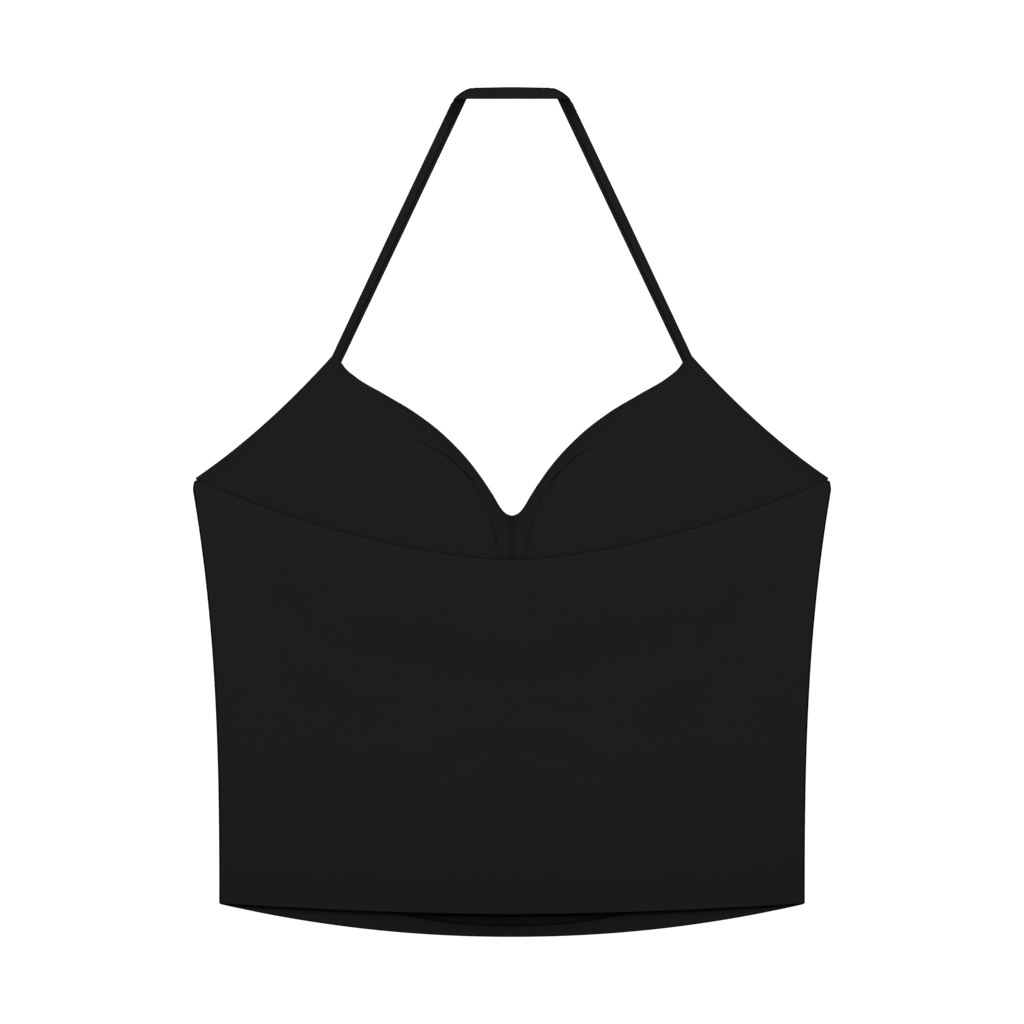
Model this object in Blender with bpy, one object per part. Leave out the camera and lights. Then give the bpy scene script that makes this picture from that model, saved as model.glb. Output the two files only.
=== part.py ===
"""A halter neck top in stretch jersey, lying flat on its front.

Metres, +Z up.  X runs across the garment, Y runs from the hem to the neck, and Z rises from the
surface that the top lies on.  The origin is on that surface, under the middle of the outline.

The pieces are the ones that are cut and sewn.  Against the surface lie the front body and the two
front cups, joined by the bust seam.  On the cups lie the bust pads and the cup linings, and over
all of them the back panel, whose sides turn down round the fronts.  The strap is one turned tube
from cup point to cup point, folded over at each upper corner.

Lengths below are in millimetres.  "Up" is counted from the lowest point of the front hem.
"""

import math

import bpy
import numpy as np

MM = 0.001

# ---- The outline, laid flat ---------------------------------------------------------------------
TOTAL_LENGTH = 526.4  # front hem to the top of the neck strap
HEM_HALF_WIDTH = 181.4
UNDERARM_HALF_WIDTH = 197.7
HEM_CORNER_UP = 21.1
UNDERARM_UP = 277.0  # the widest place
SIDE_CURVE = 2.6  # power of the side's outward curve: above 2, the lower half is nearly straight
CORNER_UP = 284.6  # where the armhole ends at the side
CORNER_ROUNDING = 1.6

FRONT_HEM_DROP = HEM_CORNER_UP  # the front hem hangs this much lower in the middle
FRONT_HEM_CURVE = 2.1
BACK_HEM_DROP = 6.8
BACK_HEM_CURVE = 1.5
BACK_SCOOP_UP = 234.4  # the back's top edge in the middle
BACK_SCOOP_DEPTH = 48.8
BACK_SCOOP_CURVE = 1.68
BACK_SCOOP_HALF_WIDTH = 195.4

ARMHOLE_HOLLOW = 3.8  # how far the armhole is scooped behind its chord
STRAP_END_OUTER = (111.4, 360.5)
STRAP_END_INNER = (105.9, 356.4)

# Half of the neckline, from its middle to the strap: a sweetheart with a small rounded bottom
NECKLINE = (
    # across, up
    (0.0, 260.7),
    (4.0, 262.6),
    (6.9, 266.0),
    (11.3, 273.4),
    (24.1, 292.0),
    (41.4, 310.6),
    (60.5, 325.5),
    (79.2, 336.7),
    (97.5, 347.8),
    (103.3, 352.8),
    STRAP_END_INNER,
)

# Half of the seam that joins the cups to the front body, from the middle to the side
BUST_SEAM = (
    # across, up
    (0.0, 203.0),
    (40.0, 197.0),
    (75.0, 200.0),
    (110.0, 210.0),
    (150.0, 224.0),
    (192.0, 233.0),
)

# ---- Bust pads ----------------------------------------------------------------------------------
PAD_CENTRE = (78.0, 259.2)
# A rounded fan, fuller towards the lower middle, as seen from its centre
PAD_OUTLINE = (
    # bearing in degrees (0 is towards the garment's middle, 90 is up), reach
    (-161.0, 56.0),
    (-118.0, 46.7),
    (-80.0, 51.6),
    (-54.0, 67.4),
    (-38.0, 78.1),
    (-22.0, 75.0),
    (-5.0, 65.8),
    (21.0, 57.5),
    (51.0, 54.1),
    (78.0, 51.9),
    (115.0, 52.2),
    (141.0, 60.5),
    (159.0, 67.2),
    (175.0, 71.7),
)
# How high the lining rides over a pad, which is dished where its crown is pressed in
LINING_RISE = (
    # share of the way from the pad's centre to its outline, height
    (0.0, 2.9),
    (0.4, 3.3),
    (0.75, 4.4),
    (0.9, 3.7),
    (1.0, 2.0),
    (1.1, 0.5),
    (1.2, 0.0),
)
# The back panel is drawn tighter over the same pads
BACK_RISE = (
    (0.0, 4.1),
    (0.4, 4.3),
    (0.75, 5.0),
    (0.9, 4.6),
    (1.0, 3.7),
    (1.15, 2.0),
    (1.3, 0.7),
    (1.45, 0.0),
)
PAD_EDGE = 0.95  # the pad's own edge, just inside the line that it draws in the lining
PAD_CLEARANCE = 1.2  # under the lining, between two differently divided meshes

# ---- Cloth and seams ----------------------------------------------------------------------------
CLOTH = 1.1
LINING = 1.0
GAP = 0.3
TURN_UP = 1.0  # thickness that a turned-up hem adds
FRONT_TURN_UP_LENGTH = 11.4
BACK_TURN_UP_LENGTH = 18.4
RAW_EDGE = 0.4  # a turned-up hem's thickness ends within this length
SIDE_ROLL = 2.0  # radius of the back panel's turn-down at the side
SIDE_LIFT = 0.3
BUST_SLOPE_BELOW = 34.0  # the back panel climbs onto the linings between these two,
BUST_SLOPE_END = 12.0  # both counted down from the bust seam
HEM_SLOPE_LENGTH = 45.0  # the back panel comes down from its thick hem within this length
HEM_SLOPE_MIDDLE = 31.0
HEM_LIFT = 1.9  # how far the back hem stands clear of the front, in the middle
EDGE_EASE = 0.4  # the rounding along a folded edge
EDGE_SHARE = 0.006  # of the back panel's height, over which its top edge is rounded
CORNER_SHARE = 0.94  # of the same height, above which the underarm corner curves
CUP_CORNER_SHARE = 0.853  # the same place, as a share of a cup's height at its side
SEAM_SLACK = 0.2  # more than the gap at a curved seam, whose two edges are divided differently
SIDE_INSET = CLOTH + GAP + SEAM_SLACK  # the front's and the cups' sides, inside the back's

# ---- Strap --------------------------------------------------------------------------------------
NECK_CORNER = (30.6, 523.15)  # where the middle lines of the two runs cross
STRAP_HALF_WIDTH = 3.5
NECK_HALF_WIDTH = 3.25
STRAP_HALF_THICKNESS = 1.0
FOLD_RADIUS = 2.1  # of the tube's middle, where it rolls over at an upper corner
FOLD_SET_BACK = 2.25  # the fold's axis lies inside the crossing, so that its roll ends on the outline
FOLD_NARROWING = 0.18  # the tube is pinched where it rolls over
STRAP_END_LENGTH = 8.0  # the sewn end, cut at the cup's slant, is square again within this length
SKEW_LENGTH = 8.0  # the cross-section turns to the fold line within this length
NECK_REST_FROM = 21.0  # half of the neck run has come down to the surface between these two
NECK_REST_TO = 6.0

JERSEY_BLACK = (0.0116, 0.0130, 0.0123, 1.0)
PAD_BLACK = (0.0150, 0.0155, 0.0155, 1.0)


# ---- Curves -------------------------------------------------------------------------------------
def smooth_through(rows, at):
    """Height of a smooth curve through a table's rows: a cubic between each two, in numpy."""
    places, heights = np.array(rows, float).T
    slopes = np.gradient(heights, places)
    at = np.clip(at, places[0], places[-1])
    low = np.clip(np.searchsorted(places, at, side="right") - 1, 0, len(places) - 2)
    step = places[low + 1] - places[low]
    t = (at - places[low]) / step
    start, end = heights[low], heights[low + 1]
    start_slope, end_slope = slopes[low] * step, slopes[low + 1] * step
    return (
        start * (1 + 2 * t) * (1 - t) ** 2
        + start_slope * t * (1 - t) ** 2
        + end * t * t * (3 - 2 * t)
        + end_slope * t * t * (t - 1)
    )


def ramp(at, low, high):
    """0 before low, 1 after high, and a smooth rise between."""
    t = np.clip((at - low) / (high - low), 0.0, 1.0)
    return t * t * (3 - 2 * t)


def ramp_linear(at, low, high):
    """0 before low, 1 after high, and an even rise between."""
    return np.clip((at - low) / (high - low), 0.0, 1.0)


def half_width(up):
    """Half of the garment's width at a height."""
    share = np.clip((up - HEM_CORNER_UP) / (UNDERARM_UP - HEM_CORNER_UP), 0.0, 1.0)
    flare = (UNDERARM_HALF_WIDTH - HEM_HALF_WIDTH) * share**SIDE_CURVE
    over = np.clip((up - UNDERARM_UP) / (CORNER_UP - UNDERARM_UP), 0.0, 1.0)
    return HEM_HALF_WIDTH + flare - CORNER_ROUNDING * over**2


def front_hem(across):
    share = np.abs(across) / HEM_HALF_WIDTH
    return HEM_CORNER_UP - FRONT_HEM_DROP * (1 - share**FRONT_HEM_CURVE)


def back_hem(across):
    share = np.abs(across) / HEM_HALF_WIDTH
    return HEM_CORNER_UP - BACK_HEM_DROP * (1 - share**BACK_HEM_CURVE)


def back_top(across):
    share = np.abs(across) / BACK_SCOOP_HALF_WIDTH
    return BACK_SCOOP_UP + BACK_SCOOP_DEPTH * share**BACK_SCOOP_CURVE


def bust_seam(across):
    return smooth_through(BUST_SEAM, np.abs(across))


def cup_top(across):
    """A cup's upper edge: the neckline, the short edge under the strap, then the armhole."""
    neckline = smooth_through(NECKLINE, across)
    strap_edge = np.interp(across, *zip(STRAP_END_INNER, STRAP_END_OUTER))
    run = UNDERARM_HALF_WIDTH - CORNER_ROUNDING - STRAP_END_OUTER[0]
    t = np.clip((across - STRAP_END_OUTER[0]) / run, 0.0, 1.0)
    chord = STRAP_END_OUTER[1] + (CORNER_UP - STRAP_END_OUTER[1]) * t
    hollow = ARMHOLE_HOLLOW * math.hypot(run, CORNER_UP - STRAP_END_OUTER[1]) / run
    armhole = chord - 4 * hollow * t * (1 - t)
    edge = np.where(across > STRAP_END_INNER[0], strap_edge, neckline)
    return np.where(across > STRAP_END_OUTER[0], armhole, edge)


def pad_reach(bearing):
    """Distance from a pad's centre to its outline, whose table is repeated past both ends."""
    bearings = np.array([row[0] for row in PAD_OUTLINE])
    reaches = np.array([row[1] for row in PAD_OUTLINE])
    rows = np.column_stack(
        [
            np.concatenate([bearings[-2:] - 360, bearings, bearings[:2] + 360]),
            np.concatenate([reaches[-2:], reaches, reaches[:2]]),
        ]
    )
    return smooth_through(rows, bearing)


def pad_share(across, up):
    """Distance from a pad's centre, as a share of its outline's reach on that bearing."""
    right = PAD_CENTRE[0] - np.abs(across)
    above = up - PAD_CENTRE[1]
    return np.hypot(right, above) / pad_reach(np.degrees(np.arctan2(above, right)))


def mirrored_pad_share(across, up):
    """The same share, counted from the pad on the other side."""
    right = PAD_CENTRE[0] + np.abs(across)
    above = up - PAD_CENTRE[1]
    return np.hypot(right, above) / pad_reach(np.degrees(np.arctan2(above, right)))


def lining_under_face(across, up):
    """Height of the lining's lower face: flat on the front cup, and raised over the pad."""
    return CLOTH + GAP + smooth_through(LINING_RISE, pad_share(across, up))


def back_inner_face(across, up):
    """Height of the back panel's inner face over everything that it lies on."""
    seam = bust_seam(across)
    on_lining = (LINING + GAP) * ramp(up, seam - BUST_SLOPE_BELOW, seam - BUST_SLOPE_END)
    near = smooth_through(BACK_RISE, pad_share(across, up))
    far = smooth_through(BACK_RISE, mirrored_pad_share(across, up))
    over_pads = np.cbrt(near**3 + far**3)
    middle = 1 - (across / HEM_HALF_WIDTH) ** 2
    hem_rise = 2 * TURN_UP + HEM_LIFT * middle
    above_hem = up - back_hem(across)
    at_hem = hem_rise * (1 - ramp(above_hem, BACK_TURN_UP_LENGTH, HEM_SLOPE_LENGTH))
    return CLOTH + GAP + on_lining + over_pads + at_hem


# ---- Meshes -------------------------------------------------------------------------------------
def add_object(name, points, faces, material):
    """One named mesh object from points in millimetres, under the garment's empty."""
    mesh = bpy.data.meshes.new(name)
    placed = (np.asarray(points) - (0, TOTAL_LENGTH / 2, 0)) * MM
    mesh.from_pydata(placed.tolist(), [], faces)
    mesh.materials.append(material)
    mesh.validate()
    mesh.shade_smooth()
    mesh.set_sharp_from_angle(angle=math.radians(40))
    made = bpy.data.objects.new(name, mesh)
    made.parent = garment
    bpy.context.collection.objects.link(made)
    return made


def slab_faces(rows, columns):
    """Faces of a closed slab between an upper and a lower grid of the same size."""
    index = np.arange(rows * columns).reshape(rows, columns)
    under = index + rows * columns
    a, b, c, d = index[:-1, :-1], index[:-1, 1:], index[1:, 1:], index[1:, :-1]
    upper = np.stack([a, b, c, d], -1).reshape(-1, 4)
    lower = np.stack([a, d, c, b], -1).reshape(-1, 4) + rows * columns
    rim = np.concatenate(
        [index[0, :-1], index[:-1, -1], index[-1, :0:-1], index[:0:-1, 0]]
    )
    rim_under = np.concatenate(
        [under[0, :-1], under[:-1, -1], under[-1, :0:-1], under[:0:-1, 0]]
    )
    following = np.roll(rim, -1)
    under_following = np.roll(rim_under, -1)
    sides = np.stack([rim, rim_under, under_following, following], -1)
    return np.concatenate([upper, lower, sides]).tolist()


def add_slab(name, upper, lower, material):
    """A cloth piece from its upper and lower faces, each an array of rows by columns by XYZ."""
    rows, columns, _ = upper.shape
    points = np.concatenate([upper.reshape(-1, 3), lower.reshape(-1, 3)])
    return add_object(name, points, slab_faces(rows, columns), material)


def surface(across, up, height):
    """An array of rows by columns by XYZ."""
    return np.stack(np.broadcast_arrays(across, up, height), -1).astype(float)


def mirrored(grid):
    """The same grid on the garment's other side, with its columns still running left to right."""
    return (grid * (-1, 1, 1))[:, ::-1]


def make_material(name, colour, roughness):
    made = bpy.data.materials.new(name)
    made.use_nodes = True
    shader = made.node_tree.nodes["Principled BSDF"]
    shader.inputs["Base Color"].default_value = colour
    shader.inputs["Roughness"].default_value = roughness
    shader.inputs["Metallic"].default_value = 0.0
    return made


# ---- Front body ---------------------------------------------------------------------------------
def between_sides(columns, rows, low_edge, high_edge, inset):
    """Across and up of the points on rows that run from one side to the other.

    A column is a share of the half width.  A row lies its first number above the low edge, plus
    its second as a share of the way from there to the high edge.
    """
    offsets, shares = np.array(rows).T[:, :, None]
    across = columns[None, :] * UNDERARM_HALF_WIDTH + 0 * shares
    for _ in range(4):
        low = low_edge(across)
        up = low + offsets + (high_edge(across) - low - offsets) * shares
        across = columns * (half_width(up) - inset)
    return across, up


def make_front_body(cloth):
    columns = np.linspace(-1, 1, 29)
    rows = [(0.0, 0.0), (FRONT_TURN_UP_LENGTH, 0.0)]
    rows += [(FRONT_TURN_UP_LENGTH + RAW_EDGE, share) for share in np.linspace(0, 1, 8)]
    across, up = between_sides(columns, rows, front_hem, bust_seam, SIDE_INSET)
    thickness = np.full_like(up, CLOTH)
    thickness[:2] += TURN_UP
    add_slab("front_body", surface(across, up, thickness), surface(across, up, 0.0), cloth)


# ---- Cups ---------------------------------------------------------------------------------------
def cup_grid(shares):
    """Across and up of one cup's points, from its middle seam out to its side.

    A row lies at its share of the way from the bust seam to the cup's upper edge.
    """
    side = UNDERARM_HALF_WIDTH - CORNER_ROUNDING - SIDE_INSET
    on_neckline = (GAP / 2, 3, 6, 9, 13, 19, 27, 36, 46, 57, 68, 79, 89, 98, 103)
    on_armhole = np.linspace(STRAP_END_OUTER[0], side, 10)
    places = np.concatenate([on_neckline, (STRAP_END_INNER[0],), on_armhole])[None, :]
    reached = ramp_linear(places, STRAP_END_OUTER[0], side)
    low = bust_seam(places) + GAP + SEAM_SLACK
    up = low + (cup_top(places) - low) * np.array(shares)[:, None]
    drawn_in = half_width(np.minimum(up, CORNER_UP)) - half_width(CORNER_UP)
    return places + drawn_in * reached, up


def make_cups(cloth, lining):
    across, up = cup_grid((0, 0.45, CUP_CORNER_SHARE, 1))
    front = surface(across, up, CLOTH), surface(across, up, 0.0)
    across, up = cup_grid([*np.linspace(0, CUP_CORNER_SHARE, 12), 0.92, 0.985, 1])
    under = lining_under_face(across, up)
    over = under + LINING
    over[-1] -= EDGE_EASE
    inside = surface(across, up, over), surface(across, up, under)
    for side, turn in (("right", np.array), ("left", mirrored)):
        add_slab(f"cup_front_{side}", turn(front[0]), turn(front[1]), cloth)
        add_slab(f"cup_lining_{side}", turn(inside[0]), turn(inside[1]), lining)


def make_pads(foam):
    """A closed fan of foam for each cup: rings of points round its centre over a flat base."""
    bearings = np.arange(0, 360, 12.0)
    turned = np.where(bearings > 180, bearings - 360, bearings)
    shares = np.array([0.3, 0.55, 0.75, 0.87, PAD_EDGE])[:, None]
    reach = shares * pad_reach(turned)
    right = reach * np.cos(np.radians(bearings))
    above = reach * np.sin(np.radians(bearings))
    rise = smooth_through(LINING_RISE, shares + 0 * reach)
    top = CLOTH + GAP + rise - PAD_CLEARANCE
    across = PAD_CENTRE[0] - right
    up = PAD_CENTRE[1] + above
    rings = surface(across, up, top)
    base = surface(across[-1:], up[-1:], CLOTH + GAP)
    crown = [[PAD_CENTRE[0], PAD_CENTRE[1], CLOTH + GAP + LINING_RISE[0][1] - PAD_CLEARANCE]]
    points = np.concatenate([crown, rings.reshape(-1, 3), base.reshape(-1, 3)])

    count = len(bearings)
    ring = np.arange(count)
    following = np.roll(ring, -1)
    faces = [(0, 1 + b, 1 + a) for a, b in zip(ring, following)]
    for inner in range(len(shares)):
        start = 1 + inner * count
        outer = start + count
        faces += [(start + a, start + b, outer + b, outer + a) for a, b in zip(ring, following)]
    faces.append((1 + len(shares) * count + ring).tolist())
    outward = [tuple(int(corner) for corner in face) for face in faces]
    inward = [face[::-1] for face in outward]
    add_object("bust_pad_right", points, outward, foam)
    add_object("bust_pad_left", points * (-1, 1, 1), inward, foam)


# ---- Back panel ---------------------------------------------------------------------------------
def make_back_panel(cloth):
    """The back, whose sides turn down in a quarter round and stop just above the surface."""
    columns = np.linspace(-1, 1, 27)
    rows = [(0.0, 0.0), (BACK_TURN_UP_LENGTH, 0.0), (BACK_TURN_UP_LENGTH + RAW_EDGE, 0.0)]
    rows += [(HEM_SLOPE_MIDDLE, 0.0)]
    rows += [(HEM_SLOPE_LENGTH, share) for share in np.linspace(0, CORNER_SHARE, 11)]
    underarm = (UNDERARM_UP - HEM_CORNER_UP) / (back_top(UNDERARM_HALF_WIDTH) - HEM_CORNER_UP)
    rows += [(0.0, underarm), (0.0, 1 - EDGE_SHARE), (0.0, 1.0)]
    across, up = between_sides(columns, rows, back_hem, back_top, SIDE_ROLL)
    inner = back_inner_face(across, up)
    outer = inner + CLOTH
    inner[:2] -= TURN_UP
    outer[-1] -= EDGE_EASE

    upper = surface(across, up, outer)
    lower = surface(across, up, inner)
    halfway = SIDE_ROLL * (1 - math.sin(math.radians(45)))
    # In from the side, and down from the panel's own height or, for None, to its lower end
    outside = (halfway, halfway), (0.0, SIDE_ROLL), (0.0, None)
    inside = ((CLOTH + SIDE_ROLL) / 2, 0.0), (CLOTH, 0.0), (CLOTH, None)
    upper = with_turned_sides(upper, outside)
    lower = with_turned_sides(lower, inside)
    add_slab("back_panel", upper, lower, cloth)


def with_turned_sides(grid, turns):
    """Adds the points of the turned-down sides to each end of every row."""
    sides = []
    for end in (0, -1):
        edge = grid[:, end]
        side = np.sign(edge[:, 0])
        width = np.abs(edge[:, 0]) + SIDE_ROLL
        strips = []
        for inward, down in turns:
            height = np.full(len(edge), SIDE_LIFT) if down is None else edge[:, 2] - down
            height = np.maximum(height, SIDE_LIFT)
            strips.append(np.stack([side * (width - inward), edge[:, 1], height], -1))
        sides.append(np.stack(strips, 1))
    return np.concatenate([sides[0][:, ::-1], grid, sides[1]], axis=1)


# ---- Strap --------------------------------------------------------------------------------------
def strap_stations():
    """Middle, half-width vector and face normal of each cross-section, over half of the strap.

    The run rises from the cup, its section turns until it lies along the fold line, rolls over
    that line, and turns back square to the neck run, which comes down to rest in the middle.
    """
    outer_end = np.array([-STRAP_END_OUTER[0], STRAP_END_OUTER[1], 0.0])
    inner_end = np.array([-STRAP_END_INNER[0], STRAP_END_INNER[1], 0.0])
    start = (outer_end + inner_end) / 2
    corner = np.array([-NECK_CORNER[0], NECK_CORNER[1], 0.0])
    length = float(np.linalg.norm(corner - start))
    rising = (corner - start) / length
    level = np.array([1.0, 0.0, 0.0])
    up = np.array([0.0, 0.0, 1.0])
    fold = (rising + level) / np.linalg.norm(rising + level)
    outward = np.cross(up, fold)
    lean = math.acos(float(fold @ level))
    low = STRAP_HALF_THICKNESS
    high = low + 2 * FOLD_RADIUS
    square = np.cross(rising, up)
    fold_middle = corner - outward * FOLD_SET_BACK
    stations = []

    sewn_end = start + rising * (GAP + SEAM_SLACK) + up * low
    stations.append((sewn_end, (inner_end - outer_end) / 2, up))
    straight = np.append(
        np.linspace(STRAP_END_LENGTH, length - SKEW_LENGTH, 6), length - SKEW_LENGTH / 2
    )
    for place in straight:
        turned = ramp_linear(place, length - SKEW_LENGTH, length)
        width = (square + rising / math.tan(lean) * turned) * STRAP_HALF_WIDTH
        slide = -outward * FOLD_SET_BACK * turned
        stations.append((start + rising * place + slide + up * low, width, up))

    for angle in np.radians(np.linspace(0, 180, 9)):
        middle = fold_middle + outward * FOLD_RADIUS * math.sin(angle)
        middle = middle + up * (low + FOLD_RADIUS - FOLD_RADIUS * math.cos(angle))
        normal = up * math.cos(angle) - outward * math.sin(angle)
        across = STRAP_HALF_WIDTH + (NECK_HALF_WIDTH - STRAP_HALF_WIDTH) * angle / math.pi
        across *= 1 - FOLD_NARROWING * math.sin(angle)
        stations.append((middle, fold * across / math.sin(lean), normal))

    neck_square = np.array([0.0, NECK_HALF_WIDTH, 0.0])
    for place in (SKEW_LENGTH / 2, SKEW_LENGTH, 12.0, 16.0, 20.0, 24.5, 30.6):
        turned = 1 - ramp_linear(place, 0.0, SKEW_LENGTH)
        width = neck_square + level * NECK_HALF_WIDTH / math.tan(lean) * turned
        middle = corner + level * place - outward * FOLD_SET_BACK * turned
        resting = 1 - ramp(abs(float(middle[0])), NECK_REST_TO, NECK_REST_FROM)
        stations.append((middle + up * (high + (low - high) * resting), width, -up))
    return stations


def make_strap(cloth):
    """A flattened tube through every station of both halves, closed at its two ends."""
    ring = (
        # share of the half width, share of the half thickness
        (1.0, 0.0),
        (0.94, 0.7),
        (0.75, 1.0),
        (-0.75, 1.0),
        (-0.94, 0.7),
        (-1.0, 0.0),
        (-0.94, -0.7),
        (-0.75, -1.0),
        (0.75, -1.0),
        (0.94, -0.7),
    )
    half = [
        [
            middle + width * wide + normal * STRAP_HALF_THICKNESS * thick
            for wide, thick in ring
        ]
        for middle, width, normal in strap_stations()
    ]
    left = np.array(half)
    right = (left * (-1, 1, 1))[-2::-1]
    rings = np.concatenate([left, right])
    count, size, _ = rings.shape
    faces = []
    for station in range(count - 1):
        here = station * size
        there = here + size
        for corner in range(size):
            beside = (corner + 1) % size
            faces.append((here + corner, there + corner, there + beside, here + beside))
    faces.append(tuple(range(size)))
    faces.append(tuple(range((count - 1) * size, count * size))[::-1])
    add_object("halter_strap", rings.reshape(-1, 3), faces, cloth)


# ---- The garment --------------------------------------------------------------------------------
for old in list(bpy.data.objects):
    bpy.data.objects.remove(old)

garment = bpy.data.objects.new("halter_top", None)
bpy.context.collection.objects.link(garment)

jersey = make_material("black_jersey", JERSEY_BLACK, 0.85)
lining_jersey = make_material("black_lining_jersey", JERSEY_BLACK, 0.85)
pad_foam = make_material("black_foam", PAD_BLACK, 0.9)

make_front_body(jersey)
make_cups(jersey, lining_jersey)
make_pads(pad_foam)
make_back_panel(jersey)
make_strap(jersey)
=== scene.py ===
# %% [markdown]
# # A halter neck top, laid flat on its front
#
# The top is black stretch jersey.  It lies face down, so the back panel is on top, and above its
# scooped edge the inside of the two cups shows.  A narrow strap runs from one cup point round the
# neck to the other.
#
# Everything is worked out in millimetres and becomes metres only when a mesh is made.  X runs
# across the garment, Y from the hems to the strap, and Z up from the surface.  "Up" along the
# garment is counted from the lowest point of the front hem, as a dressmaker would measure it.

# %% Load the frame
import math

import bpy
import numpy as np
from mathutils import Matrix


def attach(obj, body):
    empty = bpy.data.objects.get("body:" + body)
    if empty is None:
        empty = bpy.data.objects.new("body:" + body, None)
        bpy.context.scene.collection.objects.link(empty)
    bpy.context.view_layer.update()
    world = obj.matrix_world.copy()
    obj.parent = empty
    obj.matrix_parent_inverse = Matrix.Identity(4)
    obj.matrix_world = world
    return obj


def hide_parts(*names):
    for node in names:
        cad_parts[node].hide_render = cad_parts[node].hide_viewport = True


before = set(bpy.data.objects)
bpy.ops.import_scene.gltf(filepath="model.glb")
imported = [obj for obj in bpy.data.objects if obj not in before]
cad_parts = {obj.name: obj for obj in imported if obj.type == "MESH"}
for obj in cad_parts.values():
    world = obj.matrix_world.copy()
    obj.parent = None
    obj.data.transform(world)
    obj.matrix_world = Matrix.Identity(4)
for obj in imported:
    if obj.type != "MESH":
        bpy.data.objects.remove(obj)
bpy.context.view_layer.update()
MM = 0.001


def place_in_scene(name, data):
    """An object at the origin that shows the data: a camera, a light or a mesh."""
    made = bpy.data.objects.new(name, data)
    bpy.context.scene.collection.objects.link(made)
    return made


# %% [markdown]
# ## Camera
#
# A flat-laid garment is shown from straight above.  From far enough away nothing nearer looks
# larger, so an orthographic camera is right: its scale is the width of garment that the picture
# covers.

# %% Camera
PICTURE_SIDE = 1024  # pixels
PIXEL = 0.62  # millimetres of garment to a pixel
CAMERA_SHIFT_UP = 0.31  # the garment's middle lies half a pixel below the picture's
CAMERA_HEIGHT = 1500.0

camera_data = bpy.data.cameras.new("overhead_camera")
camera_data.type = "ORTHO"
camera_data.ortho_scale = PICTURE_SIDE * PIXEL * MM
camera = place_in_scene("overhead_camera", camera_data)
camera.location = (0.0, CAMERA_SHIFT_UP * MM, CAMERA_HEIGHT * MM)
bpy.context.scene.camera = camera
print("picture covers", PICTURE_SIDE * PIXEL, "mm")

# %% [markdown]
# ## The pattern's lines
#
# The finished cloth has to end exactly where the solid pieces end, so the outline is described by
# the same few sizes and tables: side, hems, back edge, bust seam and the cups' upper edge.  Each
# line is a function of how far across the garment a point is, which keeps the shape in one place
# for the cloth, the folds and the stitches alike.

# %% Curve helpers
def grid_of(*values):
    """Numbers or arrays side by side as the last axis of one grid."""
    return np.stack(np.broadcast_arrays(*values), -1).astype(float)


def smooth_through(rows, at):
    """A smooth curve through a table's rows: between each two, a cubic with shared slopes."""
    places, heights = np.array(rows, float).T
    slopes = np.gradient(heights, places)
    at = np.clip(at, places[0], places[-1])
    low = np.clip(np.searchsorted(places, at, side="right") - 1, 0, len(places) - 2)
    step = places[low + 1] - places[low]
    t = (at - places[low]) / step
    start_slope, end_slope = slopes[low] * step, slopes[low + 1] * step
    start = heights[low] * (1 + 2 * t) * (1 - t) ** 2 + start_slope * t * (1 - t) ** 2
    return start + heights[low + 1] * t * t * (3 - 2 * t) + end_slope * t * t * (t - 1)


def even_runs(ends, counts):
    """Several even runs of numbers, one after the other, that share their ends."""
    runs = [np.linspace(*run)[1:] for run in zip(ends, ends[1:], counts)]
    return np.concatenate([ends[:1], *runs])


def ramp(at, low, high):
    """0 before low, 1 after high, and a smooth rise between."""
    t = np.clip((at - low) / (high - low), 0.0, 1.0)
    return t * t * (3 - 2 * t)


def hill(at, middle, width):
    """A soft hill of height 1: it falls to a third at one width from its middle."""
    return np.exp(-(((at - middle) / width) ** 2))


def higher_of(one, other, softness):
    """The higher of two surfaces, with the crease where they meet rounded off."""
    return softness * np.logaddexp(one / softness, other / softness)


def unit(vectors):
    """Vectors of length 1 in the same directions."""
    return vectors / np.linalg.norm(vectors, axis=-1, keepdims=True)


# %% Sides, hems and the back's edge
TOTAL_LENGTH = 526.4
HEM_HALF_WIDTH = 181.6
UNDERARM_HALF_WIDTH = 197.9
HEM_CORNER_UP = 20.5
UNDERARM_UP = 277.0
SIDE_CURVE = 2.7
CORNER_UP = 284.6
CORNER_ROUNDING = 1.6
FRONT_HEM_CURVE = 2.05
BACK_HEM_CORNER_UP = 20.6
BACK_HEM_DROP = 6.75
BACK_HEM_CURVE = 1.65
BACK_SCOOP_UP = 234.4
BACK_SCOOP_DEPTH = 48.8
BACK_SCOOP_CURVE = 1.68
BACK_SCOOP_HALF_WIDTH = 195.4
NOTCH_DEPTH = 0.5  # the middle seam's threads press a small notch into the back's edge
NOTCH_ACROSS = 1.0
NOTCH_WIDTH = 1.6


def half_width(up):
    """Half of the width: it flares by a power of the height, then rounds off at the underarm."""
    share = np.clip((up - HEM_CORNER_UP) / (UNDERARM_UP - HEM_CORNER_UP), 0.0, 1.0)
    over = np.clip((up - UNDERARM_UP) / (CORNER_UP - UNDERARM_UP), 0.0, 1.0)
    flare = (UNDERARM_HALF_WIDTH - HEM_HALF_WIDTH) * share**SIDE_CURVE
    return HEM_HALF_WIDTH + flare - CORNER_ROUNDING * over**2


def front_hem(across):
    """The front hem hangs lowest in the middle, by a power of the distance from it."""
    return HEM_CORNER_UP * (np.abs(across) / HEM_HALF_WIDTH) ** FRONT_HEM_CURVE


def back_hem(across):
    """The back hem is flatter than the front one, and its corners are nearly as high."""
    share = np.abs(across) / HEM_HALF_WIDTH
    return BACK_HEM_CORNER_UP - BACK_HEM_DROP * (1 - share**BACK_HEM_CURVE)


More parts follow.
